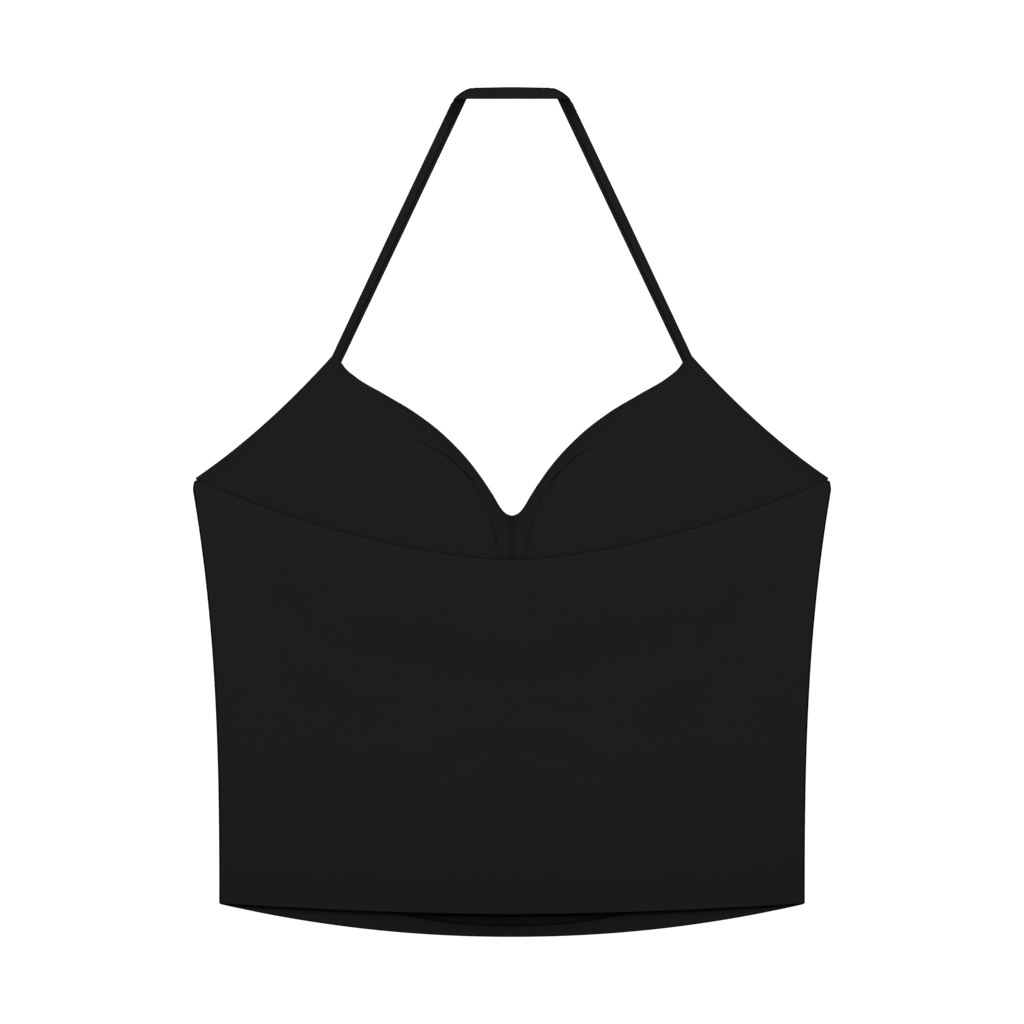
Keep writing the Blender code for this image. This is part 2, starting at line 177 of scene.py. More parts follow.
def back_top(across):
    """The back's scooped edge, lowest in the middle."""
    share = np.abs(across) / BACK_SCOOP_HALF_WIDTH
    scoop = BACK_SCOOP_UP + BACK_SCOOP_DEPTH * share**BACK_SCOOP_CURVE
    return scoop - NOTCH_DEPTH * hill(across, NOTCH_ACROSS, NOTCH_WIDTH)


print("across the hem and under the arms, mm:", 2 * HEM_HALF_WIDTH, 2 * UNDERARM_HALF_WIDTH)


# %% Bust seam and the cups' upper edge
ARMHOLE_HOLLOW = 3.4
STRAP_END_OUTER = (111.4, 360.5)
STRAP_END_INNER = (105.9, 356.4)
NECKLINE = (
    # across, up
    (0, 261.25), (4, 262.8), (6.9, 266), (11.3, 273.4), (24.1, 292), (41.4, 310.6), (60.5, 325.5),
    (79.2, 336.7), (97.5, 347.8), (103.3, 352.8), STRAP_END_INNER,
)
BUST_SEAM = (
    # across, up
    (0, 203), (40, 197), (75, 200), (110, 210), (150, 224), (192, 233),
)
CORNER_ACROSS = UNDERARM_HALF_WIDTH - CORNER_ROUNDING


def bust_seam(across):
    return smooth_through(BUST_SEAM, np.abs(across))


def cup_top(across):
    """The neckline, the short slanted edge under the strap, then the slightly hollow armhole."""
    neckline = smooth_through(NECKLINE, across)
    strap_edge = np.interp(across, *zip(STRAP_END_INNER, STRAP_END_OUTER))
    run = CORNER_ACROSS - STRAP_END_OUTER[0]
    rise = CORNER_UP - STRAP_END_OUTER[1]
    t = np.clip((across - STRAP_END_OUTER[0]) / run, 0.0, 1.0)
    hollow = ARMHOLE_HOLLOW * math.hypot(run, rise) / run
    armhole = STRAP_END_OUTER[1] + rise * t - 4 * hollow * t * (1 - t)
    edge = np.where(across > STRAP_END_INNER[0], strap_edge, neckline)
    return np.where(across > STRAP_END_OUTER[0], armhole, edge)


# %% Walk along the cups' upper edge
EDGE_STEP = 0.6
EDGE_ROUNDING = 5  # samples that a direction is averaged over, so that the edge turns smoothly
BLOCK = 4000  # points whose distances are worked out at one time


def read_off(places, known_places, rows):
    """The rows' values at other places, read off along straight lines between the known ones."""
    return grid_of(*(np.interp(places, known_places, column) for column in rows.T))


def walk_along(line, step):
    """Points at even steps along a line, and how far along it each of them is."""
    walked = np.concatenate([[0.0], np.cumsum(np.linalg.norm(np.diff(line, axis=0), axis=1))])
    places = np.linspace(0.0, walked[-1], int(walked[-1] / step) + 1)
    return read_off(places, walked, line), places


def averaged(values, reach):
    """Each row becomes the mean of itself and its neighbours within the reach."""
    padded = np.pad(values, ((reach, reach), (0, 0)), mode="edge")
    window = np.ones(2 * reach + 1) / (2 * reach + 1)
    return grid_of(*(np.convolve(column, window, "valid") for column in padded.T))


def left_of(directions):
    """Each direction turned a quarter turn anticlockwise."""
    return grid_of(-directions[..., 1], directions[..., 0])


fine_across = np.linspace(0.0, CORNER_ACROSS, 5000)
edge_line, edge_places = walk_along(grid_of(fine_across, cup_top(fine_across)), EDGE_STEP)
edge_forward = unit(averaged(np.gradient(edge_line, axis=0), EDGE_ROUNDING))
edge_outward = left_of(edge_forward)
strap_end_middle = (np.array(STRAP_END_OUTER) + np.array(STRAP_END_INNER)) / 2
strap_place = edge_places[np.linalg.norm(edge_line - strap_end_middle, axis=1).argmin()]


def edge_distance(across, up):
    """How far inside the cups' upper edge a point is, and how far along the edge it lies."""
    grid = grid_of(np.abs(across), up)
    points = grid.reshape(-1, 2)
    inset, place = np.empty((2, len(points)))
    for start in range(0, len(points), BLOCK):
        part = points[start : start + BLOCK]
        apart = ((part[:, None] - edge_line) ** 2).sum(-1)
        near = apart.argmin(1)
        away = part - edge_line[near]
        inset[start : start + BLOCK] = -(away * edge_outward[near]).sum(-1)
        place[start : start + BLOCK] = edge_places[near] + (away * edge_forward[near]).sum(-1)
    return inset.reshape(grid.shape[:-1]), place.reshape(grid.shape[:-1])


print("upper edge of a cup:", round(edge_places[-1], 1), "mm, strap at", round(strap_place, 1))

# %% [markdown]
# ## From a surface to a piece of cloth
#
# Jersey is a thin sheet, and here every sheet is worked out as the middle of its thickness: a grid
# of points that also follows the turned-up hems.  Moving that grid half a thickness to each side
# along its normals, and closing the rim, gives a shell with the same thickness everywhere.
#
# Each sheet gets two maps.  "grain" says where a point lies on the flat cloth, in metres, and the
# knit follows it.  "seam" says how far along a seam a point is and how far from its first needle
# row, and the needle holes follow that one.

# %% Shells of cloth
LAYER = 0.8  # one layer of jersey
CREASE_ANGLE = 50.0  # degrees; a sharper bend than this is shaded as an edge


def grid_normals(middle):
    """At each point, the cross product of the grid's two directions."""
    return unit(np.cross(np.gradient(middle, axis=1), np.gradient(middle, axis=0)))


def shell_faces(rows, columns):
    """Faces over the upper grid, under the lower one, and round the rim between them."""
    index = np.arange(rows * columns).reshape(rows, columns)
    under = index + rows * columns
    a, b, c, d = index[:-1, :-1], index[:-1, 1:], index[1:, 1:], index[1:, :-1]
    upper = np.stack([a, b, c, d], -1).reshape(-1, 4)
    lower = np.stack([a, d, c, b], -1).reshape(-1, 4) + rows * columns
    rim = np.concatenate([index[0, :-1], index[:-1, -1], index[-1, :0:-1], index[:0:-1, 0]])
    below = np.concatenate([under[0, :-1], under[:-1, -1], under[-1, :0:-1], under[:0:-1, 0]])
    wall = np.stack([rim, below, np.roll(below, -1), np.roll(rim, -1)], -1)
    return np.concatenate([upper, lower, wall]).tolist()


def turned_over(faces):
    """The same faces, looking the other way."""
    return [face[::-1] for face in faces]


def add_map(mesh, name, values):
    """A UV map from one pair of numbers for each vertex."""
    corner_vertex = np.empty(len(mesh.loops), np.int32)
    mesh.loops.foreach_get("vertex_index", corner_vertex)
    layer = mesh.uv_layers.new(name=name)
    layer.data.foreach_set("uv", values[corner_vertex].astype(np.float32).ravel())


def add_piece(name, points, faces, material, maps=()):
    """A finished mesh object, in place, from points and maps in millimetres."""
    mesh = bpy.data.meshes.new(name)
    placed = (points - (0.0, TOTAL_LENGTH / 2, 0.0)) * MM
    mesh.from_pydata(placed.tolist(), [], faces)
    for map_name, values in dict(maps).items():
        add_map(mesh, map_name, values * MM)
    mesh.materials.append(material)
    mesh.shade_smooth()
    mesh.set_sharp_from_angle(angle=math.radians(CREASE_ANGLE))
    piece = place_in_scene(name, mesh)
    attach(piece, "root")
    print(name, "has", sum(len(face) - 2 for face in faces), "triangles")
    return piece


def add_cloth(name, middle, grain, seam, material, thickness=LAYER):
    """A shell of cloth round a grid of points, with its two maps."""
    rows, columns, _ = middle.shape
    half = grid_normals(middle) * thickness / 2
    points = np.concatenate([(middle + half).reshape(-1, 3), (middle - half).reshape(-1, 3)])
    flat_maps = {"grain": grain, "seam": seam}
    maps = {label: np.tile(grid.reshape(-1, 2), (2, 1)) for label, grid in flat_maps.items()}
    return add_piece(name, points, shell_faces(rows, columns), material, maps)


# %% [markdown]
# ## Finishes
#
# Black jersey is never one flat black.  Close up it is columns of small V-shaped loops, from
# farther away a faint mottle, and the fibres that stand up from it give a soft sheen.  The loops
# are far too small to model, so they are a bump.  The knit, the mottle and the needle holes are
# node groups, because the outer jersey, the lining and the threads share them.  Shade is also
# painted into the colour: in needle holes, between the knit's columns, on steep walls and
# between needle rows.

# %% Node helpers
def set_inputs(tree, node, values):
    """Each named input gets a number, or a link from a socket."""
    for name, value in dict(values).items():
        if isinstance(value, bpy.types.NodeSocket):
            tree.links.new(value, node.inputs[name])
        else:
            node.inputs[name].default_value = value


def add_node(tree, kind, inputs=(), **settings):
    """The outputs of a new node with these settings and inputs."""
    node = tree.nodes.new(kind)
    for name, value in settings.items():
        setattr(node, name, value)
    set_inputs(tree, node, inputs)
    return node.outputs


def math_in(tree):
    """A maker of sums in one node tree; their values are numbers or sockets."""
    return lambda operation, *values: add_node(
        tree, "ShaderNodeMath", enumerate(values), operation=operation
    )[0]


def smooth_range(tree, inputs):
    """A number that follows another one smoothly, over a range of it."""
    return add_node(tree, "ShaderNodeMapRange", inputs, interpolation_type="SMOOTHSTEP")["Result"]


def new_group(name, vector, numbers, outputs):
    """A node group of one vector and some numbers; also its inside's inputs and its output node."""
    tree = bpy.data.node_groups.new(name, "ShaderNodeTree")
    tree.interface.new_socket(vector, in_out="INPUT", socket_type="NodeSocketVector")
    for label, value in numbers.items():
        socket = tree.interface.new_socket(label, in_out="INPUT", socket_type="NodeSocketFloat")
        socket.default_value = value
    for label in outputs:
        tree.interface.new_socket(label, in_out="OUTPUT", socket_type="NodeSocketFloat")
    return tree, tree.nodes.new("NodeGroupInput").outputs, tree.nodes.new("NodeGroupOutput")


def use_group(tree, group, inputs):
    return add_node(tree, "ShaderNodeGroup", inputs, node_tree=group)


# %% Knit group
def make_knit_group():
    """Loops of fine jersey.

    Across the cloth, each column's place runs from 0 to 1.  The loops' two legs lean towards the
    column's middle, so the height is a wave along the cloth, shifted by the distance from that
    middle, and it sinks between the columns.
    """
    sizes = {"Column width": 0.00055, "Loop height": 0.00045}
    tree, given, result = new_group("jersey_knit", "Vector", sizes, ("Height", "Gap"))
    calc = math_in(tree)
    place = add_node(tree, "ShaderNodeSeparateXYZ", {0: given["Vector"]})
    share = calc("FRACT", calc("DIVIDE", place["X"], given["Column width"]))
    loop = calc("DIVIDE", place["Y"], given["Loop height"])
    sideways = calc("ABSOLUTE", calc("MULTIPLY_ADD", share, 2.0, -1.0))
    leaning = calc("MULTIPLY_ADD", sideways, 0.5, loop)
    turns = calc("MULTIPLY", leaning, 2 * math.pi)
    wave = calc("MULTIPLY_ADD", calc("COSINE", turns), 0.5, 0.5)
    gap = calc("POWER", sideways, 3.0)
    body = calc("SUBTRACT", 1.0, gap)
    height = calc("MULTIPLY", calc("MULTIPLY_ADD", wave, 0.5, 0.5), body)
    set_inputs(tree, result, {"Height": height, "Gap": gap})
    return tree


# %% Mottle group
def make_mottle_group():
    """Two noises, one as fine as fibres and one as wide as a hand, added to one number round 1."""
    amounts = {"Fine amount": 0.15, "Wide amount": 0.06}
    tree, given, result = new_group("cloth_mottle", "Vector", amounts, ["Tone"])
    calc = math_in(tree)
    total = 1.0
    for scale, detail, amount in ((2600.0, 2.0, "Fine amount"), (26.0, 3.0, "Wide amount")):
        inputs = {"Vector": given["Vector"], "Scale": scale, "Detail": detail}
        noise = add_node(tree, "ShaderNodeTexNoise", inputs)["Fac"]
        total = calc("MULTIPLY_ADD", calc("SUBTRACT", noise, 0.5), given[amount], total)
    set_inputs(tree, result, {"Tone": total})
    return tree


# %% Needle row group
def make_needle_group():
    """Needle holes in two rows.

    The first row runs where the seam map's second number is 0, and the other lies a spacing
    further in.  A hole is round: its depth is 1 at the needle's point, and 0 at its radius.  A
    soft groove joins the holes of a row, where the thread pulls the layers together.  The last
    mask is 1 between the two rows.
    """
    sizes = {
        "Pitch": 0.0017,
        "Row spacing": 0.0028,
        "Hole radius": 0.0006,
        "Groove half width": 0.0008,
    }
    tree, given, result = new_group("needle_rows", "Vector", sizes, ("Hole", "Groove", "Between"))
    calc = math_in(tree)
    place = add_node(tree, "ShaderNodeSeparateXYZ", {0: given["Vector"]})
    pitches = calc("DIVIDE", place["X"], given["Pitch"])
    from_hole = calc("SUBTRACT", calc("FRACT", pitches), 0.5)
    along = calc("MULTIPLY", from_hole, given["Pitch"])
    past = calc("SUBTRACT", place["Y"], given["Row spacing"])
    beside = calc("MINIMUM", calc("ABSOLUTE", place["Y"]), calc("ABSOLUTE", past))
    away = calc("SQRT", calc("ADD", calc("POWER", along, 2.0), calc("POWER", beside, 2.0)))
    half = calc("MULTIPLY", given["Row spacing"], 0.5)
    from_middle = calc("ABSOLUTE", calc("SUBTRACT", place["Y"], half))
    for distance, reach, label in (
        (away, "Hole radius", "Hole"),
        (beside, "Groove half width", "Groove"),
        (calc("SUBTRACT", from_middle, half), "Hole radius", "Between"),
    ):
        falling = {"Value": distance, "From Max": given[reach], "To Min": 1.0, "To Max": 0.0}
        set_inputs(tree, result, {label: smooth_range(tree, falling)})
    return tree


# %% Painted edge shade group
def make_painted_edge_shade_group():
    """Painted shade: a darker colour where the cloth turns down over an edge or into a groove.

    It depends on how upright the surface's normal is in the piece's own space: 1 where the cloth
    lies flat, and the wall's share where it stands on edge.
    """
    shares = {"Steep to": 0.82, "Flat from": 0.94, "Painted wall shade": 0.07}
    tree, given, result = new_group("painted_edge_shade", "Normal", shares, ["Shade"])
    upright = add_node(tree, "ShaderNodeSeparateXYZ", {0: given["Normal"]})["Z"]
    falling = {
        "Value": math_in(tree)("ABSOLUTE", upright),
        "From Min": given["Steep to"],
        "From Max": given["Flat from"],
        "To Min": given["Painted wall shade"],
        "To Max": 1.0,
    }
    set_inputs(tree, result, {"Shade": smooth_range(tree, falling)})
    return tree


knit_group = make_knit_group()
mottle_group = make_mottle_group()
needle_group = make_needle_group()
painted_edge_shade_group = make_painted_edge_shade_group()
print("node groups:", [group.name for group in bpy.data.node_groups])

# %% Jersey material
JERSEY_BLACK = (0.0126, 0.0143, 0.0135)
# painted shade: the linings' jersey is darker than the back's, to offset the stronger light over the
# cups
LINING_SHADED_BLACK = (0.0115, 0.0129, 0.0122)
# painted shade: the strap's jersey is darker than the body's, to offset the stronger light near the
# neck end
STRAP_SHADED_BLACK = (0.0097, 0.0109, 0.0103)
INSIDE_SHADED_BLACK = (0.0108, 0.0122, 0.0115)  # painted shade: darker than the outer jersey, for the shade on the turned-up hem under the back's hem
THREAD_BLACK = (0.0160, 0.0178, 0.0170)
# painted light: the hem's thread is lighter than the other thread, so that its stitches read as lit
# between the dark holes
HEM_THREAD_LIT_BLACK = (0.0175, 0.0195, 0.0186)
# painted shade: the looper threads are darker than the other thread, for the shade under the back's
# hem
LOOPER_SHADED_BLACK = (0.0076, 0.0085, 0.0081)
FOAM_BLACK = (0.0150, 0.0155, 0.0155)
KNIT_DEPTH = 0.00003  # metres
HOLE_DEPTH = 0.00035
GROOVE_DEPTH = 0.00002
HOLE_SHADE = 0.1  # of the cloth's colour, at the bottom of a needle hole
GAP_SHADE = 0.8  # and between two columns of the knit
MATT_GLOSS = 0.12
JERSEY_ROUGHNESS = 0.93
LOOP_POLISH = 0.06  # the tops of the loops are a little smoother


def new_material(name):
    """A material with its node tree and its shader."""
    material = bpy.data.materials.new(name)
    material.use_nodes = True
    tree = material.node_tree
    return material, tree, tree.nodes["Principled BSDF"]


def colour_and_bump(tree, colour, factor, height):
    """Shader inputs: a colour times a number that changes over the surface, and a bump."""
    scaled = add_node(
        tree, "ShaderNodeVectorMath", {0: colour, "Scale": factor}, operation="SCALE"
    )
    bump = add_node(tree, "ShaderNodeBump", {"Height": height, "Distance": 1.0})
    return {"Base Color": scaled["Vector"], "Normal": bump["Normal"]}


def make_jersey(name, colour, pitch, row_spacing, between_shade=1.0):
    """Matt jersey: knit bump on the grain map, needle rows on the seam map, mottled black.

    Each mask darkens the colour to its share, which is painted shade: in the needle holes, in the
    gaps between the knit's columns, on steep walls, and between the needle rows, where the share
    given for that band stands for the shade under looper threads.
    """
    material, tree, shader = new_material(name)
    calc = math_in(tree)
    grain = add_node(tree, "ShaderNodeUVMap", uv_map="grain")["UV"]
    seam = add_node(tree, "ShaderNodeUVMap", uv_map="seam")["UV"]
    facing = add_node(tree, "ShaderNodeTexCoord")["Normal"]
    knit = use_group(tree, knit_group, {"Vector": grain})
    mottle = use_group(tree, mottle_group, {"Vector": grain})
    rows = {"Vector": seam, "Pitch": pitch, "Row spacing": row_spacing}
    needles = use_group(tree, needle_group, rows)
    # painted shade on steep walls, from how upright the normal is
    edges = use_group(tree, painted_edge_shade_group, {"Normal": facing})
    # painted shade: the colour is multiplied down on steep walls, in holes, in the knit's gaps and
    # between the needle rows
    shade = calc("MULTIPLY", mottle["Tone"], edges["Shade"])
    for mask, share in (
        (knit["Gap"], GAP_SHADE), (needles["Hole"], HOLE_SHADE), (needles["Between"], between_shade),
    ):
        shade = calc("MULTIPLY", shade, calc("MULTIPLY_ADD", mask, share - 1, 1.0))
    height = calc("MULTIPLY", knit["Height"], KNIT_DEPTH)
    height = calc("MULTIPLY_ADD", needles["Hole"], -HOLE_DEPTH, height)
    height = calc("MULTIPLY_ADD", needles["Groove"], -GROOVE_DEPTH, height)
    set_inputs(tree, shader, colour_and_bump(tree, colour, shade, height))
    roughness = calc("MULTIPLY_ADD", knit["Height"], -LOOP_POLISH, JERSEY_ROUGHNESS)
    set_inputs(tree, shader, {"Roughness": roughness, "Specular IOR Level": MATT_GLOSS})
    set_inputs(tree, shader, {"Sheen Weight": 0.02, "Sheen Roughness": 0.6})
    return material


# %% Thread, foam and floor materials
def make_plain(name, colour, roughness=0.7, fine=0.5, lump=0.00004):
    """A finish with mottled colour and a lumpy bump on object coordinates: thread or foam."""
    material, tree, shader = new_material(name)
    calc = math_in(tree)
    place = add_node(tree, "ShaderNodeTexCoord")["Object"]
    tone = use_group(tree, mottle_group, {"Vector": place, "Fine amount": fine})["Tone"]
    height = calc("MULTIPLY", tone, lump)
    set_inputs(tree, shader, colour_and_bump(tree, colour, tone, height))
    rough = calc("MULTIPLY_ADD", tone, 0.1, roughness - 0.1)
    set_inputs(tree, shader, {"Roughness": rough, "Specular IOR Level": MATT_GLOSS})
    return material


HEM_PITCH = 0.0017
CUP_PITCH = 0.00168
HEM_ROW_SPACING = 0.0034
CUP_ROW_SPACING = 0.00275
LOOPER_SPREAD = 0.0042  # the looper threads lie a little wider than the needle rows
HEM_ROWS = (HEM_PITCH, HEM_ROW_SPACING)
CUP_ROWS = (CUP_PITCH, CUP_ROW_SPACING)
jersey = make_jersey("black_jersey", JERSEY_BLACK, *HEM_ROWS)
# painted shade: between its needle rows only a tenth of the colour is left, for the shade under the
# looper threads
inside_jersey = make_jersey("black_jersey_inside", INSIDE_SHADED_BLACK, HEM_PITCH, LOOPER_SPREAD, 0.1)
cup_jersey = make_jersey("black_cup_jersey", JERSEY_BLACK, *CUP_ROWS)
strap_jersey = make_jersey("black_strap_jersey", STRAP_SHADED_BLACK, *CUP_ROWS)
lining_jersey = make_jersey("black_lining_jersey", LINING_SHADED_BLACK, *CUP_ROWS)
# painted shade: the band between the middle seam's needle rows keeps 0.65 of its colour
seam_jersey = make_jersey("black_seam_jersey", LINING_SHADED_BLACK, *CUP_ROWS, between_shade=0.65)
thread = make_plain("black_sewing_thread", THREAD_BLACK)
hem_thread = make_plain("black_hem_thread", HEM_THREAD_LIT_BLACK)
looper_thread = make_plain("black_looper_thread", LOOPER_SHADED_BLACK, roughness=0.8)
foam = make_plain("black_foam", FOAM_BLACK, roughness=0.9, fine=0.4, lump=0.00008)
print("materials:", [m.name for m in (jersey, inside_jersey, lining_jersey, thread, foam)])

# %% [markdown]
# ## Light and floor
#
# Black cloth shows its shape only by how much light each slope catches.  One large soft light
# beyond the neck end makes every slope towards the strap a little lighter and every slope towards
# the hem a little darker, and a dim surround keeps the shadows open.  The floor is plain white.
# It glows for the camera only, so that it stays clean round the garment without lighting the
# cloth from below.

# %% Light and floor
KEY_PLACE = (0.0, 0.6, 1.05)  # metres
KEY_SIZE = (2.4, 1.2)
KEY_WATTS = 20.0
SURROUND = 0.11
FLOOR_SIDE = 6.0  # metres
FLOOR_GREY = 0.12
FLOOR_GLOW = 1.05
WHITE = (1, 1, 1, 1)

key_data = bpy.data.lights.new("soft_key", "AREA")
key_data.shape = "RECTANGLE"
key_data.size, key_data.size_y = KEY_SIZE
key_data.energy = KEY_WATTS
key = place_in_scene("soft_key", key_data)
key.location = KEY_PLACE
key.visible_camera = False

world = bpy.data.worlds.new("dim_surround")
world.use_nodes = True
background = world.node_tree.nodes["Background"]
set_inputs(world.node_tree, background, {"Color": WHITE, "Strength": SURROUND})
bpy.context.scene.world = world
bpy.context.scene.view_settings.view_transform = "Standard"


def make_floor():
    """A square sheet whose glow only the camera sees."""
    material, tree, shader = new_material("white_floor")
    grey = (FLOOR_GREY, FLOOR_GREY, FLOOR_GREY, 1)
    seen = add_node(tree, "ShaderNodeLightPath")["Is Camera Ray"]
    glow = math_in(tree)("MULTIPLY", seen, FLOOR_GLOW)
    set_inputs(tree, shader, {"Base Color": grey, "Roughness": 0.9})
    set_inputs(tree, shader, {"Emission Color": WHITE, "Emission Strength": glow})
    half = FLOOR_SIDE / 2
    mesh = bpy.data.meshes.new("floor")
    corners = [(-half, -half, 0), (half, -half, 0), (half, half, 0), (-half, half, 0)]
    mesh.from_pydata(corners, [], [(0, 1, 2, 3)])
    mesh.materials.append(material)
    place_in_scene("floor", mesh)


make_floor()
print("key light, W:", KEY_WATTS, "surround:", SURROUND)

# %% [markdown]
# ## Bust pads
#
# A thin moulded pad lies between each cup and its lining.  It can't be seen itself, but the lining
# is drawn over it, and the pad's edge is the clearest line inside the cups.  Its outline is a
# rounded fan, described as a reach on each bearing from its centre, so that every height can be
# a function of one number: the share of the way from the centre to the outline.

# %% Pad outline
PAD_CENTRE = (78.0, 259.2)
TROUGH_MIDDLE = 150.0  # bearing; towards the armhole the cloth dips before it meets the pad
TROUGH_FADE = (18.0, 40.0)  # degrees from there
TROUGH = (
    # distance beyond the outline, height, half width
    (-2, -0.4, 3.5), (8.5, 0.85, 5.5),
)
PAD_OUTLINE = (
    # bearing in degrees (0 is towards the garment's middle, 90 is up), reach
    (-161, 56), (-118, 46.7), (-80, 51.6), (-54, 67.4), (-38, 76.4), (-22, 72.8), (-5, 64.2),
    (21, 57.2), (51, 54.1), (78, 51.9), (115, 52.2), (141, 60.5), (159, 67.2), (175, 71.7),
)
LINING_LIFT = (
    # share of the way to the outline, how far the lining stands above its lowest level
    (0, 1.6), (0.4, 1.8), (0.75, 2.15), (0.93, 2.1), (1, 1.9),
)
EDGE_LIFT = (
    # bearing, factor on the lift at the outline: the pad is thickest towards the neckline
    (-161, 0.5), (-118, 1), (-54, 1.1), (-20, 1.36), (-9, 1.3), (0, 1.2), (12, 1.07), (20, 1),
    (30, 0.98), (45, 1.03), (60, 0.98), (72, 0.93), (85, 0.8), (110, 0.35), (159, 0.25),
    (175, 0.3),
)
LIFT_FALL = (
    # bearing, distances from the outline between which the lift falls away
    (-60, -2.1, 7), (-20, -2.1, 7), (0, -1.6, 5.6), (12, -1.6, 5.4), (20, -1.7, 4.2),
    (28, -2.2, 3.4), (40, -2.6, 2.3), (52, -3, 2), (64, -3, 1.8), (85, -2.6, 2.6), (110, -2.1, 7),
    (160, -2.7, 9), (200, -2.7, 9), (260, -2.4, 8),
)


def round_table(rows, bearing):
    """A curve through a table of bearings, which is repeated past both ends."""
    return smooth_through([(b + turn, v) for turn in (-360, 0, 360) for b, v in rows], bearing)


def pad_place(across, up):
    """For a point, its bearing from the pad's centre, its share of the way out, and the reach."""
    right = PAD_CENTRE[0] - across
    above = up - PAD_CENTRE[1]
    bearing = np.degrees(np.arctan2(above, right))
    reach = round_table(PAD_OUTLINE, bearing)
    return bearing, np.hypot(right, above) / reach, reach


def pad_lift(bearing, share):
    """The table's lift, times a factor that goes from 1 in the centre to the bearing's own."""
    inside = np.minimum(share, 1.0)
    factor = 1 + (round_table(EDGE_LIFT, bearing) - 1) * inside**2
    return smooth_through(LINING_LIFT, inside) * factor


def lining_lift(across, up):
    """Dished on the pad; beyond its outline it falls away like cloth drawn over an edge."""
    bearing, share, reach = pad_place(np.abs(across), up)
    beyond = (share - 1.0) * reach
    start, end = (
        round_table([(row[0], row[column]) for row in LIFT_FALL], bearing) for column in (1, 2)
    )
    fall = 1 - ramp(beyond, start, end)
    there = 1 - ramp(np.abs((bearing - TROUGH_MIDDLE + 180) % 360 - 180), *TROUGH_FADE)
    trough = sum(height * hill(beyond, place, width) for place, height, width in TROUGH)
    return pad_lift(bearing, share) * fall + there * trough


# %% Pads
FRONT_REST = 0.1  # the lowest cloth's clearance of the surface
FRONT_MIDDLE = FRONT_REST + LAYER / 2
LINING_LEVEL = 1.6  # middle of the lining where it lies flat on the front
PAD_TOP_SHARES = [0.0, 0.1, 0.25, 0.4, 0.55, 0.7, 0.8, 0.88, 0.93, 0.965]  # of the way out
PAD_UNDER_SHARES = [0.975, 0.965, 0.6, 0.0]
PAD_ROUNDING = (0.1, 0.5)  # how much lower the last two rings of the top lie
PAD_CLEARANCE = 0.15
PAD_LEAST = 0.2  # thickness
PAD_BASE = FRONT_MIDDLE + LAYER / 2 + PAD_CLEARANCE


def make_pad(side):
    """Rings of points round the pad: over the top, round its edge, and back under it."""
    bearings = np.arange(0.0, 360.0, 3.0)
    turned = np.where(bearings > 180, bearings - 360, bearings)
    shares = np.array(PAD_TOP_SHARES + PAD_UNDER_SHARES)
    reach = shares[:, None] * round_table(PAD_OUTLINE, turned)
    across = PAD_CENTRE[0] - reach * np.cos(np.radians(bearings))
    up = PAD_CENTRE[1] + reach * np.sin(np.radians(bearings))
    top = LINING_LEVEL - LAYER / 2 - PAD_CLEARANCE + lining_lift(across, up)
    top = top[: len(PAD_TOP_SHARES)]
    top[-2:] -= np.array(PAD_ROUNDING)[:, None]
    top = np.maximum(top, PAD_BASE + PAD_LEAST)
    edge_middle = (PAD_BASE + top[-1:]) / 2
    under = np.full((len(PAD_UNDER_SHARES) - 1, len(turned)), PAD_BASE)
    return grid_of(side * across, up, np.concatenate([top, edge_middle, under]))


def wrapped_faces(rows, columns):
    """Faces of a grid whose last column joins its first."""
    index = np.arange(rows * columns).reshape(rows, columns)
    here, there = index[:-1], index[1:]
    quads = [here, there, np.roll(there, -1, axis=1), np.roll(here, -1, axis=1)]
    return np.stack(quads, -1).reshape(-1, 4)


def closed_round(points):
    """A closed round piece: its first and last rings are single points, joined by triangles."""
    rows, columns, _ = points.shape
    inner = points[1:-1].reshape(-1, 3)
    ring = np.arange(columns)
    after = np.roll(ring, -1)
    centre = np.full(columns, len(inner))
    start = (rows - 3) * columns
    faces = wrapped_faces(rows - 2, columns).tolist()
    faces += np.stack([centre, ring, after], -1).tolist()
    faces += np.stack([centre + 1, start + after, start + ring], -1).tolist()
    return np.concatenate([inner, points[:1, 0], points[-1:, 0]]), faces


for side, word in ((1, "right"), (-1, "left")):
    pad_points, pad_faces = closed_round(make_pad(side))
    if word == "left":
        pad_faces = turned_over(pad_faces)
    pad = add_piece(f"bust_pad_{word}_foam", pad_points, pad_faces, foam)
    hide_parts(f"bust_pad_{word}")

# %% [markdown]
# ## Front body
#
# The front lies against the surface.  Below the back hem its own hem shows from the inside: the
# cloth is folded up along the hem line, and its raw edge lies under the cover stitching.  The
# sheet's path therefore starts at the raw edge, runs down to the hem, rolls over and runs back up
# to the bust seam.

# %% Rows between the two sides
FOLD_RADIUS = 0.45  # of the middle of a folded layer, so that the two layers almost touch
FOLD_ANGLES = np.radians(np.linspace(0, 180, 9))[1:-1]
QUARTER_TURN = np.radians([18, 36, 54, 72, 90])
EDGE_INSET = FOLD_RADIUS + LAYER / 2  # a fold's line lies this far inside the finished edge


def between_sides(columns, low_edge, high_edge, shares, inset):
    """Across and up of rows that lie at given shares of the way between two edges.

    A column is a share of the half width, so across depends on up and up on across: a few rounds
    of working out one from the other settle both.
    """
    shares = np.asarray(shares, float)[:, None]
    across = columns[None, :] * UNDERARM_HALF_WIDTH + 0 * shares
    for _ in range(5):
        up = low_edge(across) + (high_edge(across) - low_edge(across)) * shares
        across = columns * (half_width(up) - inset)
    return across, up


def fold_rows(edge, normal, outward, angles):
    """Rows that roll over an edge: a half circle from the upper layer to the lower one."""
    angles = angles[:, None, None]
    turned = normal * np.cos(angles) + outward * np.sin(angles)
    return edge - FOLD_RADIUS * normal + FOLD_RADIUS * turned


